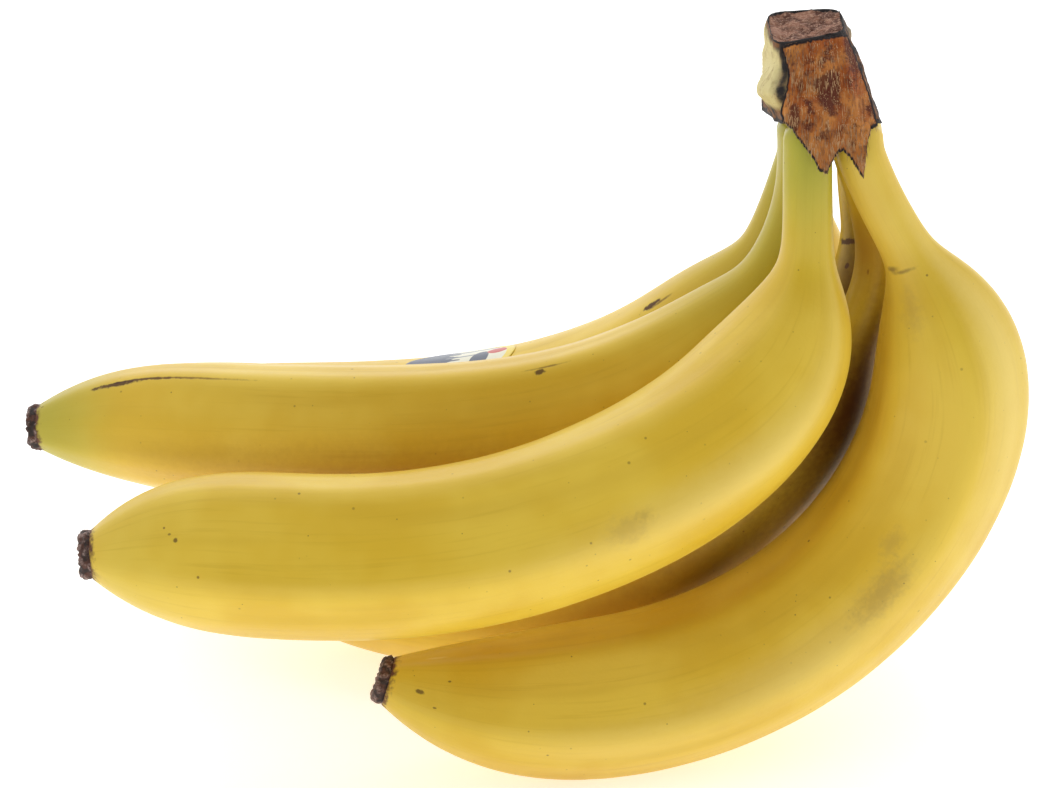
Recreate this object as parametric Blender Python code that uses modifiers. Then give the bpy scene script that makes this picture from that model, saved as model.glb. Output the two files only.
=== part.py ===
"""Bunch of seven bananas lying on the undersides of its outer row, cut crown standing up.

Every finger is a rounded five-sided section swept along its own bent centreline.
Metres, +Z up, origin under the middle of the bounding box on the resting plane.
"""

import math
from dataclasses import dataclass

import bmesh
import bpy
import numpy as np
from mathutils import Matrix, Vector

MM = 0.001

# Driving dimensions of a finger
NECK_RADIUS = 5.3 * MM
TIP_RADIUS = 5.5 * MM
NECK_EASE = 5.0               # how softly the swell begins, in millimetres
TIP_TURN_START = 0.8          # where the last turn of the blossom end begins
RIDGE = 0.03                  # how far the five ridges stand out of a round section
RIDGE_SINK = 0.5              # share of that height taken off the whole section
RINGS = 30
RING_CROWDING = 0.055
SIDES = 20
NECK_RINGS = 5
STEPS = 240                   # steps in which a centreline is integrated
HEADING_STATIONS = (0.0, 0.12, 0.28, 0.5, 0.75, 1.0)

# Clearances and details
GAP = 0.3 * MM                # air between one named piece and the next
REST_DEPTH = 0.5 * MM         # how far the resting fingers are pressed flat
CAP_RADIUS = 5.6 * MM
CAP_LENGTH = 3.0 * MM
CAP_BEVEL = 0.9 * MM
CAP_SIDES = 14
WELD = 0.01 * MM
VOID_SWELL = 0.55 * MM         # swell of the crown's copy that cuts the necks

# Crown, as outlines in plan at its cut top and at its lower rim
CROWN_TOP = 168.6 * MM
CROWN_TOP_CENTRE = (61.2 * MM, 4.2 * MM)
CROWN_TOP_HALF = (8.4 * MM, 11.0 * MM)
CROWN_BASE_CENTRE = (66.3 * MM, 23.6 * MM)
CROWN_BASE_HALF = (11.4 * MM, 40.6 * MM)
CROWN_SKEW = 0.4              # how far the cut top's front edge falls back to the right
CROWN_BASE_FRONT = 152.0 * MM
CROWN_BASE_BACK = 131.0 * MM
# Tongues of the rim that run down the two front necks: length, reach from the front face
# as a share of the depth, and place and width of each as shares of the half width
TONGUE_LENGTH = 9.0 * MM
TONGUE_REACH = 0.18
TONGUES = ((-0.42, 0.30), (0.62, 0.25))
CROWN_BOXINESS = 6.0          # 2 is an ellipse, higher is a squarer outline
CROWN_FLARE = (0.8, 0.7)      # how early it widens across and in depth
CROWN_HOLLOW = 5.0 * MM
CROWN_SIDES = 40
CROWN_RINGS = 8

# Oval label on the back finger of the inner row
LABEL_FINGER = "back_inner"
LABEL_HALF = (14.5 * MM, 11.5 * MM)
LABEL_STATION = 0.55
LABEL_TURN = 276.0
LABEL_THICKNESS = 0.3 * MM
LABEL_SIDES = 24
LABEL_CUTS = 3


@dataclass(frozen=True)
class Finger:
    """One banana: where its neck leaves the crown and how it bends.

    hub and root are points in millimetres, length and radius too. azimuth gives the
    plan direction at neck and tip, headings the angle from straight down at each station,
    roll the turn of the five ridges, all in degrees. shape gives the length of the slim
    neck, the length and the abruptness of the swell after it, and the length of the taper.
    tip_turn is the last turn of the blossom end in plan.
    """
    name: str
    hub: tuple
    root: tuple
    length: float
    radius: float
    azimuth: tuple
    headings: tuple
    roll: float
    shape: tuple
    tip_turn: float = 0.0
    rests: bool = False


FINGERS = (
    Finger("front_outer", (72.2, -5.0, 152), (73.3, -9.2, 141.9), 226.4, 18.8, (9.3, 16),
           (-21.6, -29.2, 3.9, 46.5, 85.4, 105.9), 6, (26, 16, 1.28, 70.4), -19,
           True),
    Finger("front_inner", (62.0, -7.2, 156), (60.9, -13.9, 149), 218.8, 18.6,
           (53.4, -24.6), (-0.4, 0.1, 46.4, 73.1, 88, 86), 5, (30.4, 15.1, 1.2, 51),
           26),
    Finger("second_outer", (72.0, 9.0, 147), (79.6, 13.9, 116.8), 211.1, 17.7,
           (1.4, -23.4), (-9.9, 26.8, 34.3, 57.1, 92.2, 100.1), 12,
           (24.3, 15.5, 1.3, 52), 0, True),
    Finger("middle_inner", (61.0, 11.6, 150), (61.5, 12.3, 129), 210.6, 16.7,
           (15.2, -30.5), (5.6, 33.2, 61.1, 81.9, 85.4, 84.5), 9, (25.5, 16.9, 0.88, 61),
           26),
    Finger("third_outer", (73.0, 37.5, 143), (78.1, 45.8, 127.1), 221.4, 18.1,
           (-41.3, -12.7), (0.3, -17.4, 10.2, 62, 90.1, 101.9), 0,
           (20, 15.1, 1.3, 52), 0, True),
    Finger("back_inner", (61.0, 31.6, 146), (62.6, 31.9, 128.2), 213, 17.9, (-24.3, -7.1),
           (15.9, 23, 49, 72.5, 84.3, 81.2), 14, (24.2, 15.5, 1.3, 50)),
    Finger("back_outer", (66.9, 52.0, 137), (66.9, 57.6, 131.7), 212.2, 18.2,
           (-76.7, -29.4), (1.6, 9.9, 28.9, 53.7, 79.7, 98), 8, (24, 15.1, 1.3, 52), 0, True),
)

PEEL = {
    "front_outer": (0.86, 0.66, 0.16), "front_inner": (0.86, 0.65, 0.17),
    "second_outer": (0.83, 0.60, 0.12), "middle_inner": (0.84, 0.66, 0.18),
    "third_outer": (0.84, 0.63, 0.14), "back_inner": (0.82, 0.68, 0.20),
    "back_outer": (0.85, 0.65, 0.16),
}
CROWN_COLOUR = (0.24, 0.12, 0.05)
CAP_COLOUR = (0.07, 0.045, 0.035)
LABEL_COLOUR = (0.85, 0.83, 0.70)


def natural_spline(stations, values, at):
    """Values of the natural cubic through the stations."""
    x, y = np.asarray(stations, float), np.asarray(values, float)
    count, step, slope = len(x), np.diff(x), np.diff(y) / np.diff(x)
    matrix, right = np.eye(count), np.zeros(count)
    for i in range(1, count - 1):
        matrix[i, i - 1:i + 2] = step[i - 1], 2 * (step[i - 1] + step[i]), step[i]
        right[i] = 6 * (slope[i] - slope[i - 1])
    bend = np.linalg.solve(matrix, right)
    i = np.clip(np.searchsorted(x, at) - 1, 0, count - 2)
    left, rest = at - x[i], x[i + 1] - at
    return ((bend[i] * rest ** 3 + bend[i + 1] * left ** 3) / (6 * step[i])
            + (y[i] / step[i] - bend[i] * step[i] / 6) * rest
            + (y[i + 1] / step[i] - bend[i + 1] * step[i] / 6) * left)


def girth(along, finger):
    """Radius of the finger at a distance along its centreline."""
    neck, swell, power, taper = finger.shape
    radius = finger.radius * MM
    past = along / MM - neck
    past = (past + np.hypot(past, NECK_EASE)) / 2 / swell
    body = NECK_RADIUS + (radius - NECK_RADIUS) * (1 - np.exp(-past ** power))
    close = np.clip((finger.length - along / MM) / taper, 0.0, 1.0)
    end = TIP_RADIUS + (radius - TIP_RADIUS) * (1 - (1 - close) ** 3)
    return np.minimum(body, end)


def centreline(finger):
    """Points, unit headings, side vectors and radii from the hub to the blossom end."""
    s = np.linspace(0.0, 1.0, STEPS)
    tilt = np.radians(natural_spline(HEADING_STATIONS, finger.headings, s))
    last = np.clip((s - TIP_TURN_START) / (1 - TIP_TURN_START), 0.0, 1.0)
    plan = np.radians(finger.azimuth[0] + (finger.azimuth[1] - finger.azimuth[0]) * s
                      + finger.tip_turn * last ** 2 * (3 - 2 * last))
    heading = np.stack([-np.sin(tilt) * np.cos(plan), -np.sin(tilt) * np.sin(plan),
                        -np.cos(tilt)], axis=1)
    length = finger.length * MM
    steps = (heading[1:] + heading[:-1]) / 2 * length / (STEPS - 1)
    root = np.array(finger.root) * MM
    points = np.vstack([root, root + np.cumsum(steps, axis=0)])
    # Rings crowd toward the two ends, where the girth changes fastest
    place = np.linspace(0.0, 1.0, RINGS)
    place = place - RING_CROWDING * np.sin(2 * np.pi * place)
    pick = [np.interp(place, s, column) for column in points.T]
    body = np.stack(pick, axis=1)
    radii = girth(place * length, finger)
    # The neck above the root is a short curve up to the hub inside the crown
    hub = np.array(finger.hub) * MM
    reach = np.linalg.norm(root - hub) / 3
    controls = (hub, hub + (root - hub) / 3, root - heading[0] * reach, root)
    t = np.linspace(0.0, 1.0, NECK_RINGS + 1)[:-1, None]
    neck = ((1 - t) ** 3 * controls[0] + 3 * (1 - t) ** 2 * t * controls[1]
            + 3 * (1 - t) * t ** 2 * controls[2] + t ** 3 * controls[3])
    line = np.vstack([neck, body])
    along = np.gradient(line, axis=0)
    along /= np.linalg.norm(along, axis=1)[:, None]
    turn = np.concatenate([np.full(NECK_RINGS, plan[0]), np.interp(place, s, plan)])
    side = np.stack([np.sin(turn), -np.cos(turn), np.zeros_like(turn)], axis=1)
    side -= along * np.sum(side * along, axis=1)[:, None]
    side /= np.linalg.norm(side, axis=1)[:, None]
    radii = np.concatenate([np.full(NECK_RINGS, NECK_RADIUS), radii])
    return line, along, side, radii


def add_object(name, collection, mesh, colour, roughness):
    """Make a named object from a mesh, welded, facing out, smooth, in its own material."""
    bm = bmesh.new()
    bm.from_mesh(mesh)
    bmesh.ops.remove_doubles(bm, verts=bm.verts, dist=WELD)
    bmesh.ops.recalc_face_normals(bm, faces=bm.faces)
    bm.to_mesh(mesh)
    bm.free()
    mesh.name = name
    mesh.shade_smooth()
    mesh.set_sharp_from_angle(angle=math.radians(40))
    item = bpy.data.objects.new(name, mesh)
    collection.objects.link(item)
    material = bpy.data.materials.new(name)
    material.use_nodes = True
    shader = material.node_tree.nodes["Principled BSDF"]
    shader.inputs["Base Color"].default_value = (*colour, 1.0)
    shader.inputs["Roughness"].default_value = roughness
    mesh.materials.append(material)
    return item


def loft(rings):
    """Mesh skinned over closed rings of equal count, capped at both ends."""
    mesh, bm = bpy.data.meshes.new("loft"), bmesh.new()
    rows = [[bm.verts.new(point) for point in ring] for ring in rings]
    count = len(rows[0])
    for upper, lower in zip(rows, rows[1:]):
        for i in range(count):
            j = (i + 1) % count
            bm.faces.new((upper[i], upper[j], lower[j], lower[i]))
    bm.faces.new(rows[0])
    bm.faces.new(list(reversed(rows[-1])))
    bmesh.ops.triangulate(bm, faces=bm.faces)
    bm.to_mesh(mesh)
    bm.free()
    return mesh


def ridged_profile(collection):
    """The five-ridged section of a finger as a closed curve of unit radius."""
    curve = bpy.data.curves.new("ridged_profile", "CURVE")
    curve.dimensions = "2D"
    spline = curve.splines.new("POLY")
    spline.points.add(SIDES - 1)
    spline.use_cyclic_u = True
    for i, point in enumerate(spline.points):
        angle = 2 * math.pi * i / SIDES
        r = 1.0 + RIDGE * (math.cos(5 * angle) - RIDGE_SINK)
        point.co = (r * math.cos(angle), r * math.sin(angle), 0.0, 1.0)
    item = bpy.data.objects.new("ridged_profile", curve)
    collection.objects.link(item)
    item.hide_render = True
    return item


def finger_object(finger, profile, collection):
    """Sweep the ridged profile along the finger's centreline and close its ends."""
    line, _, _, radii = centreline(finger)
    curve = bpy.data.curves.new("path", "CURVE")
    curve.dimensions = "3D"
    curve.bevel_mode, curve.bevel_object = "OBJECT", profile
    curve.use_fill_caps = True
    spline = curve.splines.new("POLY")
    spline.points.add(len(line) - 1)
    for point, place, radius in zip(spline.points, line, radii):
        point.co = (*place, 1.0)
        point.radius = radius
        point.tilt = math.radians(finger.roll)
    path = bpy.data.objects.new("path", curve)
    collection.objects.link(path)
    graph = bpy.context.evaluated_depsgraph_get()
    mesh = bpy.data.meshes.new_from_object(path.evaluated_get(graph))
    bpy.data.objects.remove(path, do_unlink=True)
    return add_object("banana_" + finger.name, collection, mesh, PEEL[finger.name], 0.5)


def along_finger(finger, station, turn):
    """Frame on the skin: X along the finger, Z outward at a turn from its near side."""
    line, along, side, radii = centreline(finger)
    at = NECK_RINGS + station * (len(line) - NECK_RINGS - 1)
    ring = np.arange(len(line))
    centre, tangent, across = [
        np.array([np.interp(at, ring, column) for column in table.T])
        for table in (line, along, side)]
    radius = np.interp(at, ring, radii)
    belly = np.cross(across, tangent)
    out = math.cos(turn) * across + math.sin(turn) * belly
    out /= np.linalg.norm(out)
    x = tangent / np.linalg.norm(tangent)
    y = np.cross(out, x)
    frame = Matrix((Vector(x), Vector(y), Vector(out))).transposed().to_4x4()
    frame.translation = Vector(centre + out * radius)
    return frame


def tip_cap(finger, collection):
    """The dried blossom end: a short bevelled button just past the tip."""
    line, along, _, _ = centreline(finger)
    mesh = bpy.data.meshes.new("tip")
    bm = bmesh.new()
    bmesh.ops.create_cone(bm, cap_ends=True, segments=CAP_SIDES, radius1=CAP_RADIUS,
                          radius2=CAP_RADIUS * 0.92, depth=CAP_LENGTH)
    bm.to_mesh(mesh)
    bm.free()
    item = add_object("tip_" + finger.name, collection, mesh, CAP_COLOUR, 0.9)
    bevel = item.modifiers.new("soft_rim", "BEVEL")
    bevel.width, bevel.segments, bevel.limit_method = CAP_BEVEL, 2, "ANGLE"
    item.rotation_euler = Vector(along[-1]).to_track_quat("Z", "Y").to_euler()
    item.location = Vector(line[-1] + along[-1] * (GAP + CAP_LENGTH / 2))
    return item


def fruit_label(finger, ground, collection):
    """A thin oval label wrapped onto the skin of its finger."""
    mesh = bpy.data.meshes.new("label")
    bm = bmesh.new()
    bmesh.ops.create_circle(bm, cap_ends=True, cap_tris=True, segments=LABEL_SIDES, radius=1.0)
    bmesh.ops.subdivide_edges(bm, edges=[e for e in bm.edges if not e.is_boundary],
                              cuts=LABEL_CUTS, use_grid_fill=True)
    bmesh.ops.scale(bm, vec=(*LABEL_HALF, 1.0), verts=bm.verts)
    bm.to_mesh(mesh)
    bm.free()
    item = add_object("fruit_label", collection, mesh, LABEL_COLOUR, 0.35)
    item.matrix_world = along_finger(finger, LABEL_STATION, math.radians(LABEL_TURN))
    wrap = item.modifiers.new("wrap", "SHRINKWRAP")
    wrap.target, wrap.offset, wrap.wrap_method = ground, 1.5 * GAP, "NEAREST_SURFACEPOINT"
    wrap.wrap_mode = "OUTSIDE_SURFACE"
    shell = item.modifiers.new("thickness", "SOLIDIFY")
    shell.thickness, shell.offset = LABEL_THICKNESS, 1.0
    bake(item)
    return item


def crown_outline(centre, half, power):
    """A rounded box in plan."""
    angle = np.linspace(0.0, 2 * np.pi, CROWN_SIDES, endpoint=False)
    c, s = np.cos(angle), np.sin(angle)
    x = np.sign(c) * np.abs(c) ** (2 / power) * half[0] + centre[0]
    y = np.sign(s) * np.abs(s) ** (2 / power) * half[1] + centre[1]
    return x, y


def crown_rings():
    """Rings of the crown from the cut top to the lobed lower rim."""
    rings = []
    for t in np.linspace(0.0, 1.0, CROWN_RINGS):
        flare = [t ** power for power in CROWN_FLARE]
        centre = [a + (b - a) * f
                  for a, b, f in zip(CROWN_TOP_CENTRE, CROWN_BASE_CENTRE, flare)]
        half = [a + (b - a) * f for a, b, f in zip(CROWN_TOP_HALF, CROWN_BASE_HALF, flare)]
        x, y = crown_outline(centre, half, CROWN_BOXINESS)
        back = np.clip((y - centre[1] + half[1]) / (2 * half[1]), 0.0, 1.0)
        base = CROWN_BASE_FRONT + (CROWN_BASE_BACK - CROWN_BASE_FRONT) * back
        y = y + CROWN_SKEW * (x - centre[0]) * (1 - t) * (1 - back)
        front = np.clip(1.0 - back / TONGUE_REACH, 0.0, 1.0)
        across = (x - centre[0]) / half[0]
        tongue = sum(np.exp(-((across - at) / width) ** 2) for at, width in TONGUES)
        base = base - TONGUE_LENGTH * front * tongue
        z = CROWN_TOP + (base - CROWN_TOP) * t
        rings.append([Vector(p) for p in zip(x, y, z)])
    # The underside is hollowed a little between the necks
    middle = sum(rings[-1], Vector()) / CROWN_SIDES
    rim = rings[-1]
    for share in (0.8, 0.4):
        lift = Vector((0.0, 0.0, CROWN_HOLLOW * (1 - share)))
        rings.append([p.lerp(middle, 1 - share) + lift for p in rim])
    return rings


def subtract(target, cutter):
    """Apply an exact Boolean difference to the target mesh."""
    modifier = target.modifiers.new("cut", "BOOLEAN")
    modifier.operation, modifier.solver, modifier.object = "DIFFERENCE", "EXACT", cutter
    bake(target)


def bake(item):
    """Replace an object's mesh by its evaluated one and drop its modifiers."""
    graph = bpy.context.evaluated_depsgraph_get()
    baked = bpy.data.meshes.new_from_object(item.evaluated_get(graph))
    item.modifiers.clear()
    item.data = baked


def largest_shell(item):
    """Keep only the biggest connected shell of a mesh."""
    bm = bmesh.new()
    bm.from_mesh(item.data)
    left, shells = set(bm.verts), []
    while left:
        stack, shell = [left.pop()], set()
        while stack:
            vert = stack.pop()
            shell.add(vert)
            for edge in vert.link_edges:
                other = edge.other_vert(vert)
                if other in left:
                    left.remove(other)
                    stack.append(other)
        shells.append(shell)
    shells.sort(key=len)
    for shell in shells[:-1]:
        bmesh.ops.delete(bm, geom=list(shell), context="VERTS")
    bm.to_mesh(item.data)
    bm.free()


def main():
    for item in list(bpy.data.objects):
        bpy.data.objects.remove(item, do_unlink=True)
    parts = bpy.data.collections.new("banana_bunch")
    cutters = bpy.data.collections.new("cutters")
    bpy.context.scene.collection.children.link(parts)
    bpy.context.scene.collection.children.link(cutters)

    crown = add_object("crown", parts, loft(crown_rings()), CROWN_COLOUR, 0.85)
    void = add_object("crown_void", cutters, crown.data.copy(), CROWN_COLOUR, 1.0)
    swell = void.modifiers.new("clearance", "DISPLACE")
    swell.strength, swell.mid_level = VOID_SWELL, 0.0
    slab, bm = bpy.data.meshes.new("slab"), bmesh.new()
    bmesh.ops.create_cube(bm, size=1.0, matrix=Matrix.Translation((0, 0, REST_DEPTH - 0.5)))
    bm.to_mesh(slab)
    bm.free()
    table = add_object("table_cut", cutters, slab, CROWN_COLOUR, 1.0)
    profile = ridged_profile(cutters)
    for cutter in (void, table):
        cutter.hide_render = True
        cutter.display_type = "WIRE"

    for finger in FINGERS:
        item = finger_object(finger, profile, parts)
        subtract(item, void)
        largest_shell(item)
        if finger.rests:
            subtract(item, table)
        if finger.name == LABEL_FINGER:
            fruit_label(finger, item, parts)
        tip_cap(finger, parts)

    stand_on_origin(parts)


def stand_on_origin(parts):
    """Move the whole bunch so its bounding box stands centred on the origin."""
    bpy.context.view_layer.update()
    points = np.array([item.matrix_world @ v.co
                       for item in parts.objects for v in item.data.vertices])
    low, high = points.min(axis=0), points.max(axis=0)
    shift = Vector((-(low[0] + high[0]) / 2, -(low[1] + high[1]) / 2, -low[2]))
    for item in parts.objects:
        item.location += shift


main()
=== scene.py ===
"""Bunch of seven bananas: the finished look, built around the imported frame.

Each finger is a ridged peel swept along the same bent centreline as its solid, each
blossom end is a crinkled stub, and the cut crown carries a torn sheet of dried bark.
Metres, +Z up, in the frame's own axes.
"""

from __future__ import annotations

import logging
import math
from dataclasses import dataclass, field
from enum import Enum
from typing import Callable, Sequence, Union

import bmesh
import bpy
import numpy as np
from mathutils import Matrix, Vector, noise
from mathutils.bvhtree import BVHTree

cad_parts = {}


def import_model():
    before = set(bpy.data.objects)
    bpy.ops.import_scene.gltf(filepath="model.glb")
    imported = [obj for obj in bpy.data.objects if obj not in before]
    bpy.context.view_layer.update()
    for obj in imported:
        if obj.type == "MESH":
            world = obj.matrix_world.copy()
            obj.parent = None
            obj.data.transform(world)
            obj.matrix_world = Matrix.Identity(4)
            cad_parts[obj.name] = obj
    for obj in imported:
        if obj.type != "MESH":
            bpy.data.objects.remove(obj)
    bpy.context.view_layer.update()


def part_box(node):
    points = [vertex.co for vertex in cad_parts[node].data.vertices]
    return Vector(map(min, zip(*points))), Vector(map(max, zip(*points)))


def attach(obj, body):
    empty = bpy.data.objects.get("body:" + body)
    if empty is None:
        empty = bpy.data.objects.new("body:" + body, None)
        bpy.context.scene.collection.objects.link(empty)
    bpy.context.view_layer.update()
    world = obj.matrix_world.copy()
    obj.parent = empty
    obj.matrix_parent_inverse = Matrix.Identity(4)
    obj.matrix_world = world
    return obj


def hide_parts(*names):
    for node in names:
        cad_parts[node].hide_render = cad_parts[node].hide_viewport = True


LOG = logging.getLogger("banana_bunch")
MM = 0.001
MERGE_DISTANCE = 0.002 * MM
BODY = "root"
Value = Union[float, Sequence[float], bpy.types.NodeSocket]


def smooth_step(value: np.ndarray, low: float, high: float) -> np.ndarray:
    """Soft step from 0 at low to 1 at high; low may be the larger of the two."""
    share = np.clip((np.asarray(value, float) - low) / (high - low), 0.0, 1.0)
    return share * share * (3.0 - 2.0 * share)


def natural_spline(stations: Sequence[float], values: Sequence[float],
                   at: np.ndarray) -> np.ndarray:
    """Read the natural cubic through some stations.

    Args:
        stations: rising places of the known values.
        values: the known values.
        at: places to read.

    Returns:
        The spline's value at each place.
    """
    x, y = np.asarray(stations, float), np.asarray(values, float)
    count, step, slope = len(x), np.diff(x), np.diff(y) / np.diff(x)
    matrix, right = np.eye(count), np.zeros(count)
    for i in range(1, count - 1):
        matrix[i, i - 1:i + 2] = step[i - 1], 2 * (step[i - 1] + step[i]), step[i]
        right[i] = 6 * (slope[i] - slope[i - 1])
    bend = np.linalg.solve(matrix, right)
    i = np.clip(np.searchsorted(x, at) - 1, 0, count - 2)
    left, rest = at - x[i], x[i + 1] - at
    return ((bend[i] * rest ** 3 + bend[i + 1] * left ** 3) / (6 * step[i])
            + (y[i] / step[i] - bend[i] * step[i] / 6) * rest
            + (y[i + 1] / step[i] - bend[i + 1] * step[i] / 6) * left)


def unit_rows(table: np.ndarray) -> np.ndarray:
    """Scale every row of a table of vectors to unit length."""
    return table / np.linalg.norm(table, axis=1)[:, None]


def smoke(point: Sequence[float], scale: float, octaves: int = 3) -> float:
    """Fractal noise from about -1 to 1 at a point, for features of 1/scale metres."""
    return noise.fractal(Vector(point) * scale, 1.0, 2.0, octaves)


class Wiring:
    """Adds nodes to a node tree and wires them."""

    def __init__(self, tree: bpy.types.NodeTree) -> None:
        self.tree = tree

    def node(self, kind: str, **settings: object) -> bpy.types.Node:
        """Add one node.

        Args:
            kind: Blender's identifier of the node.
            settings: its properties.

        Returns:
            The new node.
        """
        made = self.tree.nodes.new(kind)
        for key, value in settings.items():
            setattr(made, key, value)
        return made

    def feed(self, socket: bpy.types.NodeSocket, value: Value) -> None:
        """Link a socket to another one, or set its constant."""
        if isinstance(value, bpy.types.NodeSocket):
            self.tree.links.new(value, socket)
        else:
            socket.default_value = value

    def math(self, operation: str, *values: Value) -> bpy.types.NodeSocket:
        """Scalar arithmetic.

        Args:
            operation: the node's operation.
            values: its inputs in order.

        Returns:
            The result's socket.
        """
        made = self.node("ShaderNodeMath", operation=operation)
        for socket, value in zip(made.inputs, values):
            self.feed(socket, value)
        return made.outputs[0]

    def vector(self, operation: str, *values: Value) -> bpy.types.NodeSocket:
        """Vector arithmetic.

        Args:
            operation: the node's operation.
            values: its inputs in order; for SCALE the second one is the factor.

        Returns:
            The result's socket, a number for dot products, lengths and distances.
        """
        made = self.node("ShaderNodeVectorMath", operation=operation)
        sockets = [made.inputs[0], made.inputs[3]] if operation == "SCALE" else made.inputs
        for socket, value in zip(sockets, values):
            self.feed(socket, value)
        scalar = operation in ("DOT_PRODUCT", "DISTANCE", "LENGTH")
        return made.outputs["Value" if scalar else "Vector"]

    def split(self, vector: Value) -> Sequence[bpy.types.NodeSocket]:
        """The x, y and z of a vector."""
        made = self.node("ShaderNodeSeparateXYZ")
        self.feed(made.inputs[0], vector)
        return made.outputs

    def join(self, x: Value, y: Value, z: Value) -> bpy.types.NodeSocket:
        """A vector from its three parts."""
        made = self.node("ShaderNodeCombineXYZ")
        for socket, value in zip(made.inputs, (x, y, z)):
            self.feed(socket, value)
        return made.outputs[0]

    def noise(self, vector: Value, scale: float, detail: float = 2.0,
              roughness: float = 0.5) -> bpy.types.NodeSocket:
        """Fractal noise between 0 and 1.

        Args:
            vector: where it is read.
            scale: features per metre.
            detail: octaves.
            roughness: weight of the finer octaves.

        Returns:
            The noise value's socket.
        """
        made = self.node("ShaderNodeTexNoise")
        for name, value in (("Vector", vector), ("Scale", scale), ("Detail", detail),
                            ("Roughness", roughness)):
            self.feed(made.inputs[name], value)
        return made.outputs[0]

    def step(self, value: Value, low: float, high: float, bottom: float = 0.0,
             top: float = 1.0) -> bpy.types.NodeSocket:
        """Soft step of a number.

        Args:
            value: the number.
            low: where the result is bottom.
            high: where the result is top; it may be less than low.
            bottom: result at low.
            top: result at high.

        Returns:
            The result's socket.
        """
        made = self.node("ShaderNodeMapRange", interpolation_type="SMOOTHSTEP")
        if high < low:
            low, high, bottom, top = high, low, top, bottom
        for socket, item in zip(made.inputs, (value, low, high, bottom, top)):
            self.feed(socket, item)
        return made.outputs[0]

    def mix(self, factor: Value, first: Value, second: Value) -> bpy.types.NodeSocket:
        """Blend two colours.

        Args:
            factor: share of the second.
            first: a colour or its socket.
            second: a colour or its socket.

        Returns:
            The blended colour's socket.
        """
        made = self.node("ShaderNodeMix", data_type="RGBA")
        for socket, value in zip((made.inputs[0], made.inputs[6], made.inputs[7]),
                                 (factor, first, second)):
            if not isinstance(value, bpy.types.NodeSocket) and socket.type == "RGBA":
                value = (*value[:3], 1.0)
            self.feed(socket, value)
        return made.outputs[2]

    def attribute(self, name: str) -> bpy.types.Node:
        """Read a surface attribute in a material."""
        return self.node("ShaderNodeAttribute", attribute_name=name)


class Finish:
    """A material under construction: its wiring, its shader and its coordinates."""

    def __init__(self, name: str) -> None:
        self.material = bpy.data.materials.new(name)
        self.material.use_nodes = True
        self.wire = Wiring(self.material.node_tree)
        self.shader = self.material.node_tree.nodes["Principled BSDF"]
        self.object = self.wire.node("ShaderNodeTexCoord").outputs["Object"]

    def bump(self, height: Value, distance: float, strength: float) -> None:
        """Raise the shading by a height field.

        Args:
            height: socket of the height, between 0 and 1.
            distance: metres that a height of 1 stands for.
            strength: share of the effect.
        """
        made = self.wire.node("ShaderNodeBump")
        for name, value in (("Height", height), ("Distance", distance),
                            ("Strength", strength)):
            self.wire.feed(made.inputs[name], value)
        self.wire.feed(self.shader.inputs["Normal"], made.outputs[0])

    def paint(self, colour: Value, roughness: Value, gloss: float = 0.5
              ) -> bpy.types.Material:
        """Set the colour, roughness and specular level and hand the material back."""
        self.wire.feed(self.shader.inputs["Specular IOR Level"], gloss)
        self.wire.feed(self.shader.inputs["Base Color"], colour)
        self.wire.feed(self.shader.inputs["Roughness"], roughness)
        return self.material


class RowEnd(Enum):
    """How the first or the last row of a skinned grid is left."""

    OPEN = "open"
    FAN = "closed on the row's own middle"


def surface(name: str, points: np.ndarray, first: RowEnd, last: RowEnd) -> bpy.types.Mesh:
    """Skin a grid of points whose columns run round into each other.

    Args:
        name: name of the mesh.
        points: rows by columns by 3.
        first: how the first row ends.
        last: how the last row ends.

    Returns:
        The mesh, its vertices in the grid's order with the fans' middles at the end.
    """
    rows, columns = points.shape[:2]
    verts = [tuple(p) for p in points.reshape(-1, 3)]
    faces = []
    for r in range(rows - 1):
        for c in range(columns):
            d = (c + 1) % columns
            faces.append((r * columns + c, r * columns + d,
                          (r + 1) * columns + d, (r + 1) * columns + c))
    for row, end in ((0, first), (rows - 1, last)):
        if end is RowEnd.FAN:
            verts.append(tuple(points[row].mean(axis=0)))
            hub = len(verts) - 1
            for c in range(columns):
                d = (c + 1) % columns
                ends = (row * columns + d, row * columns + c)
                faces.append((hub, *(ends if row == 0 else reversed(ends))))
    mesh = bpy.data.meshes.new(name)
    mesh.from_pydata(verts, [], faces)
    return mesh


def face_outward(mesh: bpy.types.Mesh) -> None:
    """Merge doubles and turn every face of a closed mesh outwards."""
    bm = bmesh.new()
    bm.from_mesh(mesh)
    bmesh.ops.remove_doubles(bm, verts=bm.verts, dist=MERGE_DISTANCE)
    bmesh.ops.recalc_face_normals(bm, faces=bm.faces)
    bm.to_mesh(mesh)
    bm.free()


def paint_points(mesh: bpy.types.Mesh, name: str, values: Sequence[float]) -> None:
    """Store one number for each vertex, before any vertex is merged."""
    layer = mesh.attributes.new(name, "FLOAT", "POINT")
    layer.data.foreach_set("value", np.asarray(values, np.float32))


def make_object(mesh: bpy.types.Mesh, material: bpy.types.Material | None
                ) -> bpy.types.Object:
    """Put a mesh in the scene under its own name, shaded smooth."""
    item = bpy.data.objects.new(mesh.name, mesh)
    bpy.context.scene.collection.objects.link(item)
    if material is not None:
        mesh.materials.append(material)
    mesh.shade_smooth()
    return item


def realise(item: bpy.types.Object) -> None:
    """Replace an object's mesh by its evaluated one and drop its modifiers."""
    graph = bpy.context.evaluated_depsgraph_get()
    baked = bpy.data.meshes.new_from_object(item.evaluated_get(graph))
    item.modifiers.clear()
    baked.name = item.name
    item.data = baked


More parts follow.
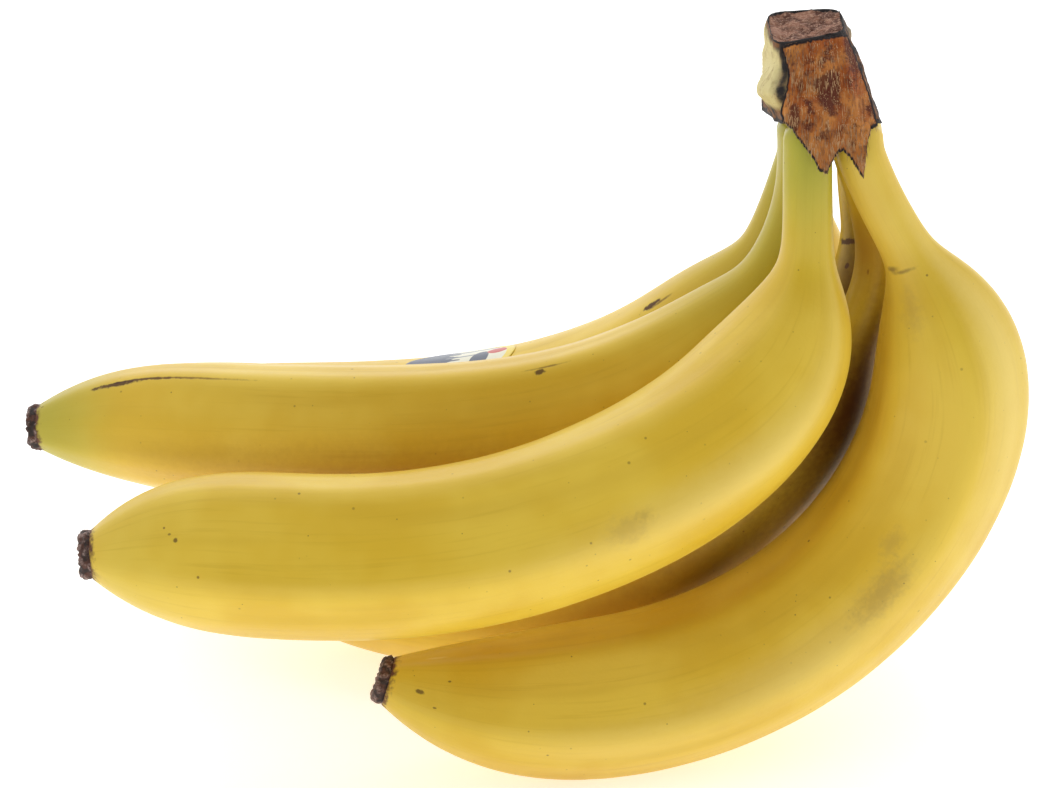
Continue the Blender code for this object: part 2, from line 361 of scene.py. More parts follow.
def settle(item: bpy.types.Object, slot: str, *nodes: str) -> None:
    """Hang a finished piece on the frame and report it.

    Args:
        item: the finished piece.
        slot: the record's material slot; not used.
        nodes: the frame's nodes that it stands for.
    """
    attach(item, BODY)
    if nodes:
        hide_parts(*nodes)
    LOG.info("%s: %d faces", item.name, len(item.data.polygons))


@dataclass
class GeometryTree:
    """A Geometry Nodes tree with named inputs, set on objects by identifier."""

    name: str
    inputs: dict[str, str]
    tree: bpy.types.NodeTree = field(init=False)
    wire: Wiring = field(init=False)

    def __post_init__(self) -> None:
        """Make the tree, its named inputs and its group nodes."""
        self.tree = bpy.data.node_groups.new(self.name, "GeometryNodeTree")
        face = self.tree.interface
        face.new_socket(name="Geometry", in_out="INPUT", socket_type="NodeSocketGeometry")
        for name, kind in self.inputs.items():
            face.new_socket(name=name, in_out="INPUT", socket_type="NodeSocket" + kind)
        face.new_socket(name="Geometry", in_out="OUTPUT", socket_type="NodeSocketGeometry")
        self.wire = Wiring(self.tree)
        self.given = self.wire.node("NodeGroupInput").outputs
        self.result = self.wire.node("NodeGroupOutput").inputs[0]

    def read(self, name: str, kind: str = "FLOAT") -> bpy.types.NodeSocket:
        """Socket of a named attribute."""
        made = self.wire.node("GeometryNodeInputNamedAttribute", data_type=kind)
        made.inputs["Name"].default_value = name
        return made.outputs["Attribute"]

    def store(self, geometry: Value, name: str, value: Value, kind: str
              ) -> bpy.types.NodeSocket:
        """Keep a value on the surface under a name."""
        made = self.wire.node("GeometryNodeStoreNamedAttribute", data_type=kind,
                              domain="POINT")
        for key, item in (("Geometry", geometry), ("Name", name), ("Value", value)):
            self.wire.feed(made.inputs[key], item)
        return made.outputs[0]

    def finish(self, geometry: Value, material: Value) -> None:
        """End the tree in Realize Instances and Set Material."""
        real = self.wire.node("GeometryNodeRealizeInstances")
        self.wire.feed(real.inputs[0], geometry)
        dressed = self.wire.node("GeometryNodeSetMaterial")
        self.wire.feed(dressed.inputs["Geometry"], real.outputs[0])
        self.wire.feed(dressed.inputs["Material"], material)
        self.wire.feed(self.result, dressed.outputs[0])

    def apply(self, item: bpy.types.Object, **values: object) -> None:
        """Run the tree on an object and keep the result as its mesh.

        Args:
            item: the object.
            values: the inputs by name, with underscores for spaces.
        """
        modifier = item.modifiers.new(self.name, "NODES")
        modifier.node_group = self.tree
        wanted = {key.replace("_", " "): value for key, value in values.items()}
        for socket in self.tree.interface.items_tree:
            if socket.in_out == "INPUT" and socket.name in wanted:
                modifier[socket.identifier] = wanted[socket.name]
        realise(item)


class MarkKind(Enum):
    """Peel blemishes and painted light: colour, softness of the edge and raggedness."""

    SCAR = ((0.070, 0.024, 0.008), 0.5, 0.9)
    BRUISE = ((0.16, 0.075, 0.012), 0.9, 0.5)
    SCUFF = ((0.40, 0.25, 0.055), 1.0, 0.6)
    # Painted shade on the shaded side of a finger
    PAINTED_SHADE = ((0.34, 0.135, 0.004), 1.0, 0.12)
    # Painted shadow where a finger lies deep in the gap between others
    PAINTED_GAP_SHADOW = ((0.075, 0.018, 0.002), 1.0, 0.12)
    PALE = ((0.86, 0.66, 0.20), 0.7, 0.5)
    # Painted highlight where the light falls brightest
    GLOW = ((0.90, 0.69, 0.20), 1.0, 0.10)

    def __init__(self, colour: tuple[float, float, float], softness: float,
                 raggedness: float) -> None:
        self.colour = colour
        self.softness = softness
        self.raggedness = raggedness


@dataclass(frozen=True)
class Mark:
    """One blemish, or one patch of painted shade or painted highlight, on a finger.

    along is in millimetres from the root, turn in degrees round the section, length and
    width are half sizes in millimetres.
    """

    kind: MarkKind
    along: float
    turn: float
    length: float
    width: float
    strength: float = 1.0


@dataclass(frozen=True)
class PeelFinish:
    """Ripe waxy peel: yellow with a green neck, faint streaks, specks, marks and painted light.
    """

    body: tuple[float, float, float] = (0.75, 0.49, 0.034)
    # Lighter yellow of the random mottling, and the painted highlight along the ridge crests
    pale_tone_and_glint: tuple[float, float, float] = (0.82, 0.575, 0.062)
    streak: tuple[float, float, float] = (0.56, 0.34, 0.018)
    green: tuple[float, float, float] = (0.30, 0.33, 0.022)
    speck: tuple[float, float, float] = (0.20, 0.10, 0.015)
    rim: tuple[float, float, float] = (0.13, 0.05, 0.025)
    neck_green: float = 0.2
    neck_reach: float = 95.0
    tip_green: float = 0.15
    tip_reach: float = 30.0
    # Features per metre, and the stretch along the finger, of the four patterns
    mottle_scale: float = 30.0
    grain_scale: float = 900.0
    streak_scale: float = 700.0
    streak_stretch: float = 0.04
    band_scale: float = 130.0
    band_stretch: float = 0.12
    speck_share: float = 0.45
    # Cells per metre, dot radius in cells and weight of each layer of specks
    speck_layers: tuple[tuple[float, float, float], ...] = (
        (240.0, 0.085, 1.0), (420.0, 0.080, 0.7))
    ragged_scale: float = 600.0
    gloss: float = 0.30
    marks: tuple[Mark, ...] = ()

    def dress(self, name: str, length: float, girth: float) -> bpy.types.Material:
        """Build the peel's material.

        Args:
            name: name of the material.
            length: length of the finger from root to blossom end, in metres.
            girth: radius that the skin attribute's first two parts are measured on.

        Returns:
            The finished material.
        """
        finish = Finish(name)
        wire = finish.wire
        skin = wire.attribute("skin").outputs["Vector"]
        crest = wire.attribute("crest").outputs["Fac"]
        along = wire.split(skin)[2]
        mottle = wire.noise(finish.object, self.mottle_scale, 3.0, 0.55)
        grain = wire.noise(finish.object, self.grain_scale, 2.0)
        drawn = wire.vector("MULTIPLY", skin, (1.0, 1.0, self.streak_stretch))
        streak = wire.noise(drawn, self.streak_scale, 3.0, 0.6)
        drawn = wire.vector("MULTIPLY", skin, (1.0, 1.0, self.band_stretch))
        band = wire.noise(drawn, self.band_scale, 2.0)
        colour = wire.mix(wire.step(mottle, 0.38, 0.64), self.body, self.pale_tone_and_glint)
        colour = wire.mix(wire.step(band, 0.5, 0.75, 0.0, 0.22), colour, self.streak)
        colour = wire.mix(wire.step(streak, 0.52, 0.80, 0.0, 0.30), colour, self.streak)
        # Painted highlight along the ridge crests
        colour = wire.mix(wire.step(crest, 0.55, 1.0, 0.0, 0.25), colour, self.pale_tone_and_glint)
        uneven = wire.step(mottle, 0.25, 0.75, 0.75, 1.15)
        for amount, low, high in (
                (self.neck_green, self.neck_reach * MM, -10.0 * MM),
                (self.tip_green, length - self.tip_reach * MM, length)):
            share = wire.math("MULTIPLY", wire.step(along, low, high, 0.0, amount), uneven)
            colour = wire.mix(share, colour, self.green)
        colour = self._specks(finish, colour)
        # The marks take in painted shade and painted highlights; their mask also roughens the
        # skin and lowers its bump
        colour, wear_and_painted_light = self._marks(finish, colour, skin, girth)
        fray = wire.math("MULTIPLY_ADD", grain, 3.0 * MM, along)
        rim = wire.step(fray, length + 0.1 * MM, length + 1.6 * MM)
        colour = wire.mix(rim, colour, self.rim)
        rough = wire.math("MULTIPLY_ADD", grain, 0.12, 0.30)
        rough = wire.math("MULTIPLY_ADD", wire.math("MAXIMUM", wear_and_painted_light, rim), 0.25, rough)
        relief = wire.math("MULTIPLY_ADD", streak, 0.6, grain)
        relief = wire.math("MULTIPLY_ADD", wear_and_painted_light, -1.2, relief)
        finish.bump(relief, 0.10 * MM, 0.35)
        return finish.paint(colour, rough, self.gloss)

    def _specks(self, finish: Finish, colour: Value) -> bpy.types.NodeSocket:
        """Scatter tiny brown dots of uneven size over a colour."""
        wire = finish.wire
        for scale, radius, weight in self.speck_layers:
            cells = wire.node("ShaderNodeTexVoronoi")
            wire.feed(cells.inputs["Vector"], finish.object)
            wire.feed(cells.inputs["Scale"], scale)
            red, green, blue = wire.split(cells.outputs["Color"])
            size = wire.math("MULTIPLY_ADD", green, radius, radius * 0.4)
            dot = wire.step(wire.math("DIVIDE", cells.outputs["Distance"], size), 1.0, 0.45)
            there = wire.math("LESS_THAN", red, self.speck_share * weight)
            tone = wire.math("MULTIPLY_ADD", blue, 0.65, 0.25)
            amount = wire.math("MULTIPLY", wire.math("MULTIPLY", dot, there), tone)
            colour = wire.mix(amount, colour, self.speck)
        return colour

    def _marks(self, finish: Finish, colour: Value, skin: Value, girth: float
               ) -> tuple[Value, Value]:
        """Lay the located blemishes, painted shade and painted highlights over a colour.

        Args:
            finish: the material under construction.
            colour: the colour so far.
            skin: socket of the skin attribute.
            girth: radius that the attribute's first two parts are measured on.

        Returns:
            The colour with the marks, and how much of each point is under a blemish or painted
            light.
        """
        wire = finish.wire
        wear_and_painted_light: Value = 0.0
        ragged = wire.noise(finish.object, self.ragged_scale, 4.0, 0.65)
        fine = wire.math("SUBTRACT", ragged, 0.5)
        for mark in self.marks:
            turn = math.radians(mark.turn)
            centre = (girth * math.cos(turn), girth * math.sin(turn), mark.along * MM)
            scale = (1 / (mark.width * MM), 1 / (mark.width * MM), 1 / (mark.length * MM))
            offset = wire.vector("MULTIPLY", wire.vector("SUBTRACT", skin, centre), scale)
            reach = wire.math("MULTIPLY_ADD", fine, 2.0 * mark.kind.raggedness,
                              wire.vector("LENGTH", offset))
            share = wire.step(reach, 1.0, 1.0 - mark.kind.softness, 0.0, mark.strength)
            colour = wire.mix(share, colour, mark.kind.colour)
            wear_and_painted_light = wire.math("MAXIMUM", wear_and_painted_light, share)
        return colour, wear_and_painted_light


@dataclass
class Finger:
    """One banana, shaped by the same rule as its solid.

    hub and root are points in millimetres, length and radius too. azimuth gives the plan
    direction at neck and tip, headings the angle from straight down at each station and
    roll the turn of the five ridges, all in degrees. shape gives the length of the slim
    neck, the length and the abruptness of the swell after it, and the length of the taper.
    tip_turn is the last turn of the blossom end in plan, and lean the way that the crown's
    collar spreads from the neck, from -1 to 1 along +Y.
    """

    name: str
    hub: tuple[float, float, float]
    root: tuple[float, float, float]
    length: float
    radius: float
    azimuth: tuple[float, float]
    headings: tuple[float, ...]
    roll: float
    shape: tuple[float, float, float, float]
    tip_turn: float = 0.0
    finish: PeelFinish = PeelFinish()
    seed: float = 0.0
    lean: float = 0.0
    neck_radius: float = 5.3
    neck_ease: float = 5.0
    tip_turn_start: float = 0.8
    tip_radius: float = 5.6
    hidden_share: float = 0.55
    stations: tuple[float, ...] = (0.0, 0.12, 0.28, 0.5, 0.75, 1.0)
    rings: int = 220
    neck_rings: int = 24
    sides: int = 120
    ridge_height: float = 0.036
    ridge_sharpness: float = 2.0
    collar: float = 1.0
    collar_reach: float = 17.0
    undulation: float = 0.5
    # The ridges fade in along the shoulder, to this share at the neck and the blossom end
    ridge_fade: tuple[float, float] = (15.0, 75.0)
    neck_ridges: float = 0.2
    tip_ridges: float = 0.45
    tip_ridge_reach: float = 45.0

    def girth(self, along: np.ndarray) -> np.ndarray:
        """Radius of the finger, in millimetres, at distances along its centreline."""
        neck, swell, power, taper = self.shape
        past = (along - neck + np.hypot(along - neck, self.neck_ease)) / 2 / swell
        body = self.neck_radius + (self.radius - self.neck_radius) * (
            1 - np.exp(-past ** power))
        close = np.clip((self.length - along) / taper, 0.0, 1.0)
        end = self.tip_radius + (self.radius - self.tip_radius) * (1 - (1 - close) ** 3)
        return np.minimum(body, end)

    def lay_out(self, shift: np.ndarray, rim_height: Callable[[np.ndarray], np.ndarray]
                ) -> None:
        """Work out the centreline and what each of its rings is swept with.

        Args:
            shift: the frame's place against the driving dimensions, in millimetres.
            rim_height: height of the crown's lower rim at a place along the crown.
        """
        s = np.linspace(0.0, 1.0, self.rings)
        tilt = np.radians(natural_spline(self.stations, self.headings, s))
        plan = np.radians(self.azimuth[0] + (self.azimuth[1] - self.azimuth[0]) * s
                          + self.tip_turn * smooth_step(s, self.tip_turn_start, 1.0))
        heading = np.stack([-np.sin(tilt) * np.cos(plan), -np.sin(tilt) * np.sin(plan),
                            -np.cos(tilt)], axis=1)
        steps = (heading[1:] + heading[:-1]) / 2 * self.length / (self.rings - 1)
        root = np.array(self.root)
        body = np.vstack([root, root + np.cumsum(steps, axis=0)])
        hub = np.array(self.hub)
        reach = np.linalg.norm(root - hub) / 3
        controls = (hub, hub + (root - hub) / 3, root - heading[0] * reach, root)
        t = np.linspace(0.0, 1.0, self.neck_rings + 1)[:-1, None]
        neck = ((1 - t) ** 3 * controls[0] + 3 * (1 - t) ** 2 * t * controls[1]
                + 3 * (1 - t) * t ** 2 * controls[2] + t ** 3 * controls[3])
        line = np.vstack([neck, body]) + shift
        self.tangent = unit_rows(np.gradient(line, axis=0))
        turn = np.concatenate([np.full(self.neck_rings, plan[0]), plan])
        side = np.stack([np.sin(turn), -np.cos(turn), np.zeros_like(turn)], axis=1)
        side -= self.tangent * np.sum(side * self.tangent, axis=1)[:, None]
        self.side = unit_rows(side)
        self.belly = np.cross(self.side, self.tangent)
        self.along = np.concatenate([
            -np.linalg.norm(root - hub) * (1 - t[:, 0]), s * self.length])
        rim = rim_height(line[:, 1])
        # Inside the crown the neck slims, so that no part of it comes through the bark
        self.radii = self.girth(self.along) * smooth_step(line[:, 2], rim + 4.0, rim - 3.0
                                                          ).clip(self.hidden_share)
        self.flare = smooth_step(line[:, 2], rim - self.collar_reach, rim)
        shoulder = smooth_step(self.along, *self.ridge_fade)
        end = smooth_step(self.along, self.length, self.length - self.tip_ridge_reach)
        self.fade = ((self.neck_ridges + (1 - self.neck_ridges) * shoulder)
                     * (self.tip_ridges + (1 - self.tip_ridges) * end))
        self.line = line

    def build(self, sweep: GeometryTree) -> bpy.types.Object:
        """Sweep the peel along the centreline.

        Args:
            sweep: the tree that makes a ridged skin from a line of rings.

        Returns:
            The finished piece.
        """
        mesh = bpy.data.meshes.new("finger_" + self.name)
        points = self.line * MM
        mesh.from_pydata(points.tolist(), [(i, i + 1) for i in range(len(points) - 1)], [])
        for name, table in (("centre", points), ("side", self.side), ("belly", self.belly)):
            layer = mesh.attributes.new(name, "FLOAT_VECTOR", "POINT")
            layer.data.foreach_set("vector", table.astype(np.float32).ravel())
        for name, row in (("girth", self.radii * MM), ("along", self.along * MM),
                          ("flare", self.flare), ("fade", self.fade)):
            paint_points(mesh, name, row)
        item = make_object(mesh, None)
        peel = self.finish.dress("peel_" + self.name, self.length * MM, self.radius * MM)
        sweep.apply(item, Sides=self.sides, Ridge_Height=self.ridge_height,
                    Ridge_Sharpness=self.ridge_sharpness,
                    Ridge_Turn=math.radians(self.roll), Collar=self.collar, Lean=self.lean,
                    Undulation=self.undulation * MM, Skin_Radius=self.radius * MM,
                    Seed=self.seed, Peel=peel)
        settle(item, "peel_" + self.name, "banana_" + self.name)
        return item

    def tip_frame(self) -> tuple[np.ndarray, np.ndarray, np.ndarray, np.ndarray]:
        """Middle of the blossom end in metres, and its outward, side and belly axes."""
        return self.line[-1] * MM, self.tangent[-1], self.side[-1], self.belly[-1]


def peel_sweep() -> GeometryTree:
    """Tree that sweeps a five-ridged skin along a line of rings.

    Returns:
        The tree. Every ring has its centre, axes, girth, place along the finger, share
        of the ridges and share of the crown's collar as attributes of the line.
    """
    tree = GeometryTree("peel_sweep", {
        "Sides": "Int", "Ridge Height": "Float", "Ridge Sharpness": "Float",
        "Ridge Turn": "Float", "Collar": "Float", "Lean": "Float", "Undulation": "Float",
        "Skin Radius": "Float", "Seed": "Float", "Peel": "Material"})
    wire, given = tree.wire, tree.given
    curve = wire.node("GeometryNodeMeshToCurve")
    wire.feed(curve.inputs["Mesh"], given["Geometry"])
    circle = wire.node("GeometryNodeCurvePrimitiveCircle")
    wire.feed(circle.inputs["Resolution"], given["Sides"])
    circle.inputs["Radius"].default_value = 1.0
    tube = wire.node("GeometryNodeCurveToMesh")
    girth, centre = tree.read("girth"), tree.read("centre", "FLOAT_VECTOR")
    side, belly = tree.read("side", "FLOAT_VECTOR"), tree.read("belly", "FLOAT_VECTOR")
    for name, value in (("Curve", curve.outputs[0]), ("Profile Curve", circle.outputs[0]),
                        ("Scale", girth), ("Fill Caps", True)):
        wire.feed(tube.inputs[name], value)
    place = wire.node("GeometryNodeInputPosition").outputs[0]
    offset = wire.vector("SUBTRACT", place, centre)
    cosine = wire.math("DIVIDE", wire.vector("DOT_PRODUCT", offset, side), girth)
    sine = wire.math("DIVIDE", wire.vector("DOT_PRODUCT", offset, belly), girth)
    angle = wire.math("SUBTRACT", wire.math("ARCTAN2", sine, cosine), given["Ridge Turn"])
    # The five ridges stand unevenly round the section and are not equally strong
    wobble = wire.math("SINE", wire.math("ADD", angle, given["Seed"]))
    phase = wire.math("MULTIPLY_ADD", wobble, 0.35, wire.math("MULTIPLY", angle, 5.0))
    wave = wire.math("MULTIPLY_ADD", wire.math("COSINE", phase), 0.5, 0.5)
    crest = wire.math("POWER", wave, given["Ridge Sharpness"])
    weight = wire.math("MULTIPLY_ADD", wobble, 0.18, 1.0)
    height = wire.math("MULTIPLY", wire.math("SUBTRACT", crest, 0.75),
                       wire.math("MULTIPLY", weight, given["Ridge Height"]))
    height = wire.math("MULTIPLY", wire.math("MULTIPLY", height, 2.0), tree.read("fade"))
    drift = wire.join(given["Seed"], given["Seed"], 0.0)
    lumps = wire.noise(wire.vector("ADD", place, drift), 38.0, 2.0)
    lump = wire.math("MULTIPLY", wire.math("SUBTRACT", lumps, 0.5), given["Undulation"])
    lump = wire.math("MULTIPLY", lump, tree.read("fade"))
    radius = wire.math("ADD", lump, wire.math("MULTIPLY", girth, wire.math("ADD", height, 1.0)))
    out = wire.vector("ADD", wire.vector("SCALE", side, cosine),
                      wire.vector("SCALE", belly, sine))
    # The collar spreads a neck along the crown, on the side that its neighbours are on
    facing = wire.math("MULTIPLY", wire.split(out)[1], given["Lean"])
    facing = wire.math("MULTIPLY", wire.math("ADD", facing, 0.35), tree.read("flare"))
    spread = wire.math("MULTIPLY_ADD", wire.math("MAXIMUM", facing, 0.0), given["Collar"], 1.0)
    grown = wire.vector("MULTIPLY", wire.vector("SCALE", out, radius),
                        wire.join(1.0, spread, 1.0))
    moved = wire.node("GeometryNodeSetPosition")
    # What is read from the round tube is kept on it before its points move
    skin = wire.join(wire.math("MULTIPLY", cosine, given["Skin Radius"]),
                     wire.math("MULTIPLY", sine, given["Skin Radius"]), tree.read("along"))
    kept = tree.store(tube.outputs[0], "skin", skin, "FLOAT_VECTOR")
    kept = tree.store(kept, "crest", crest, "FLOAT")
    wire.feed(moved.inputs["Geometry"], kept)
    x, y, z = wire.split(wire.vector("ADD", centre, grown))
    # What lies on the table is pressed flat on it
    wire.feed(moved.inputs["Position"], wire.join(x, y, wire.math("MAXIMUM", z, 0.0)))
    smooth = wire.node("GeometryNodeSetShadeSmooth")
    wire.feed(smooth.inputs["Geometry"], moved.outputs[0])
    tree.finish(smooth.outputs[0], given["Peel"])
    return tree


@dataclass(frozen=True)
class StubFinish:
    """Dried blossom end: near-black crinkled skin with a painted greyish pink highlight on its
    high spots.
    """

    dark: tuple[float, float, float] = (0.030, 0.017, 0.013)
    warm: tuple[float, float, float] = (0.11, 0.045, 0.030)
    highlight_pink: tuple[float, float, float] = (0.36, 0.25, 0.22)

    def dress(self) -> bpy.types.Material:
        """Build the stub's material."""
        finish = Finish("dried_tip")
        wire = finish.wire
        height = wire.attribute("height").outputs["Fac"]
        patch = wire.noise(finish.object, 500.0, 3.0, 0.6)
        grit = wire.noise(finish.object, 2200.0, 3.0, 0.7)
        colour = wire.mix(wire.step(patch, 0.42, 0.62), self.dark, self.warm)
        # Painted highlight: greyish pink on the high crinkles, where the grit allows
        lit = wire.math("MULTIPLY", wire.step(height, 0.45, 0.95), wire.step(grit, 0.35, 0.6))
        colour = wire.mix(lit, colour, self.highlight_pink)
        finish.bump(grit, 0.25 * MM, 0.7)
        return finish.paint(colour, wire.math("MULTIPLY_ADD", patch, 0.25, 0.6))


@dataclass
class BlossomEnd:
    """The short pleated stub that closes a finger."""

    finger: Finger
    radius: float = 5.35
    sides: int = 96
    rings: int = 30
    pleats: int = 8
    pleat_depth: float = 0.272
    crinkle: float = 0.30
    fold_share: float = 0.17
    fold_wander: float = 7.0
    rough_share: float = 0.75
    rough_scale: float = 4.5
    profile: tuple[tuple[float, float], ...] = (
        (-1.2, 0.80), (-0.5, 0.93), (0.3, 1.00), (1.2, 1.01), (2.0, 0.98), (2.5, 0.88),
        (2.6, 0.68), (2.1, 0.45), (1.8, 0.22), (2.0, 0.04))

    def build(self, material: bpy.types.Material) -> bpy.types.Object:
        """Turn, pleat and crinkle the stub."""
        middle, out, side, belly = self.finger.tip_frame()
        knots = np.linspace(0.0, 1.0, len(self.profile))
        t = np.linspace(0.0, 1.0, self.rings)
        depth = natural_spline(knots, [p[0] for p in self.profile], t)
        reach = natural_spline(knots, [p[1] for p in self.profile], t)
        angle = np.linspace(0.0, 2 * math.pi, self.sides, endpoint=False)
        points = np.zeros((self.rings, self.sides, 3))
        heights = np.zeros((self.rings, self.sides))
        seed = Vector((self.finger.seed * 7.0, 3.1, 1.7))
        for r in range(self.rings):
            for c, a in enumerate(angle):
                ring = Vector((math.cos(a), math.sin(a), depth[r] / self.radius))
                wander = self.fold_wander * noise.noise(ring * 0.9 + seed)
                fold = self.fold_share * math.sin(self.pleats * a + wander)
                rough = noise.fractal(ring * self.rough_scale + seed, 1.0, 2.0, 4)
                height = 0.5 + fold * min(1.0, reach[r] * 1.3) + self.rough_share * rough
                heights[r, c] = height
                lift = (height - 0.5) * 2
                radial = (self.radius + lift * self.pleat_depth) * reach[r]
                push = depth[r] + lift * self.crinkle * smooth_step(t[r], 0.25, 0.6)
                across = radial * (math.cos(a) * side + math.sin(a) * belly)
                points[r, c] = middle + (across + push * out) * MM
        mesh = surface("blossom_" + self.finger.name, points, RowEnd.FAN, RowEnd.FAN)
        paint_points(mesh, "height", [*heights.ravel(), 0.5, 0.5])
        face_outward(mesh)
        item = make_object(mesh, material)
        settle(item, "dried_tip", "tip_" + self.finger.name)
        return item


@dataclass(frozen=True)
class BarkFinish:
    """Dried crown skin: orange-brown with dark red patches, straw fibres, black edge."""

    name: str = "bark_front"
    base: tuple[float, float, float] = (0.34, 0.080, 0.010)
    tan: tuple[float, float, float] = (0.58, 0.225, 0.052)
    blood: tuple[float, float, float] = (0.075, 0.012, 0.007)
    straw: tuple[float, float, float] = (0.62, 0.40, 0.20)
    edge: tuple[float, float, float] = (0.018, 0.012, 0.012)
    patch_scale: float = 150.0
    blot_scale: float = 190.0
    grain_scale: float = 2600.0
    grain_stretch: float = 0.10
    band_scale: float = 700.0
    band_stretch: float = 0.22
    gloss: float = 0.2
    # Across, down and half sizes, in millimetres, of the large dark red patches
    spots: tuple[tuple[float, float, float, float], ...] = (
        (2.6, 12.3, 2.9, 4.4), (9.2, 4.5, 2.8, 4.8), (-4.8, 18.5, 1.3, 3.4))

    def dress(self) -> bpy.types.Material:
        """Build the bark's material, streaked along its grain attribute."""
        finish = Finish(self.name)
        wire = finish.wire
        sheet = wire.attribute("sheet").outputs["Vector"]
        edge = wire.attribute("edge").outputs["Fac"]
        low = wire.attribute("low").outputs["Fac"]
        patch = wire.noise(sheet, self.patch_scale, 3.0, 0.6)
        elsewhere = wire.vector("ADD", sheet, (0.31, 0.17, 0.0))
        blot = wire.noise(elsewhere, self.blot_scale, 5.0, 0.68)
        drawn = wire.vector("MULTIPLY", sheet, (1.0, self.grain_stretch, 1.0))
        grain = wire.noise(drawn, self.grain_scale, 3.0, 0.6)
        drawn = wire.vector("MULTIPLY", sheet, (1.0, self.band_stretch, 1.0))
        band = wire.noise(drawn, self.band_scale, 2.0)
        colour = wire.mix(wire.step(patch, 0.40, 0.62), self.base, self.tan)
        colour = wire.mix(wire.math("MULTIPLY", low, 0.55), colour, self.tan)
        colour = wire.mix(wire.step(blot, 0.53, 0.64, 0.0, 0.85), colour, self.blood)
        colour = wire.mix(wire.step(band, 0.52, 0.70, 0.0, 0.55), colour, self.blood)
        for across, down, wide, tall in self.spots:
            offset = wire.vector("SUBTRACT", sheet, (across * MM, down * MM, 0.0))
            scale = (1 / (wide * MM), 1 / (tall * MM), 0.0)
            offset = wire.vector("LENGTH", wire.vector("MULTIPLY", offset, scale))
            reach = wire.math("MULTIPLY_ADD", wire.math("SUBTRACT", blot, 0.5), 3.0, offset)
            colour = wire.mix(wire.step(reach, 1.2, 0.7, 0.0, 0.85), colour, self.blood)
        colour = wire.mix(wire.step(grain, 0.58, 0.72, 0.0, 0.75), colour, self.straw)
        frayed = wire.math("MULTIPLY_ADD", wire.math("SUBTRACT", blot, 0.5), 0.8, edge)
        colour = wire.mix(wire.step(frayed, 0.35, 0.8), colour, self.edge)
        relief = wire.math("MULTIPLY_ADD", band, 0.8, grain)
        finish.bump(relief, 0.25 * MM, 0.6)
        return finish.paint(colour, wire.math("MULTIPLY_ADD", patch, 0.3, 0.42), self.gloss)


@dataclass(frozen=True)
class CutFinish:
    """Crown body: greyish pink cut face, black rim, pale flank, brown dry skin."""

    cut: tuple[float, float, float] = (0.31, 0.145, 0.090)
    cut_light: tuple[float, float, float] = (0.53, 0.32, 0.22)
    cut_dark: tuple[float, float, float] = (0.11, 0.042, 0.026)
    black: tuple[float, float, float] = (0.026, 0.021, 0.021)
    cream: tuple[float, float, float] = (0.66, 0.57, 0.27)
    skin: tuple[float, float, float] = (0.20, 0.085, 0.030)
    green: tuple[float, float, float] = (0.40, 0.39, 0.045)
    patch_scale: float = 260.0
    pith_scale: float = 1500.0
    grain_scale: float = 1400.0
    grain_stretch: float = 0.12
    gloss: float = 0.25

    def dress(self) -> bpy.types.Material:
        """Build the crown body's material from its painted zones."""
        finish = Finish("crown_body")
        wire = finish.wire
        zone = {key: wire.attribute(key).outputs["Fac"]
                for key in ("cut", "rim", "pale", "fresh")}
        patch = wire.noise(finish.object, self.patch_scale, 4.0, 0.6)
        pith = wire.noise(finish.object, self.pith_scale, 3.0, 0.7)
        drawn = wire.vector("MULTIPLY", finish.object, (1.0, 1.0, self.grain_stretch))
        grain = wire.noise(drawn, self.grain_scale, 3.0, 0.6)
        skin = wire.mix(wire.step(patch, 0.42, 0.60), self.skin, self.black)
        skin = wire.mix(wire.step(grain, 0.56, 0.75, 0.0, 0.5), skin, self.cut_light)
        cream = wire.mix(wire.step(patch, 0.50, 0.70, 0.0, 0.35), self.cream, self.skin)
        spots = wire.step(pith, 0.62, 0.70, 0.0, 0.7)
        cream = wire.mix(spots, cream, self.skin)
        face = wire.mix(wire.step(patch, 0.40, 0.60), self.cut, self.cut_dark)
        face = wire.mix(wire.step(pith, 0.48, 0.66, 0.0, 0.85), face, self.cut_light)
        colour = wire.mix(zone["pale"], skin, cream)
        colour = wire.mix(zone["fresh"], colour, self.green)
        colour = wire.mix(zone["cut"], colour, face)
        rim = wire.math("MULTIPLY_ADD", wire.math("SUBTRACT", patch, 0.5), 0.7, zone["rim"])
        colour = wire.mix(wire.step(rim, 0.35, 0.65), colour, self.black)
        finish.bump(wire.math("ADD", pith, grain), 0.3 * MM, 0.6)
        return finish.paint(colour, wire.math("MULTIPLY_ADD", patch, 0.2, 0.62), self.gloss)


@dataclass(frozen=True)
class StrawFinish:
    """Dry straw-coloured fibre, darker in places."""

    straw: tuple[float, float, float] = (0.60, 0.36, 0.17)
    brown: tuple[float, float, float] = (0.24, 0.09, 0.035)

    def dress(self) -> bpy.types.Material:
        """Build the fibres' material."""
        finish = Finish("bark_fibre")
        wire = finish.wire
        patch = wire.noise(finish.object, 400.0, 3.0, 0.6)
        fine = wire.noise(finish.object, 3000.0, 2.0)
        colour = wire.mix(wire.step(patch, 0.40, 0.62), self.straw, self.brown)
        finish.bump(fine, 0.05 * MM, 0.4)
        return finish.paint(colour, wire.math("MULTIPLY_ADD", fine, 0.3, 0.4))


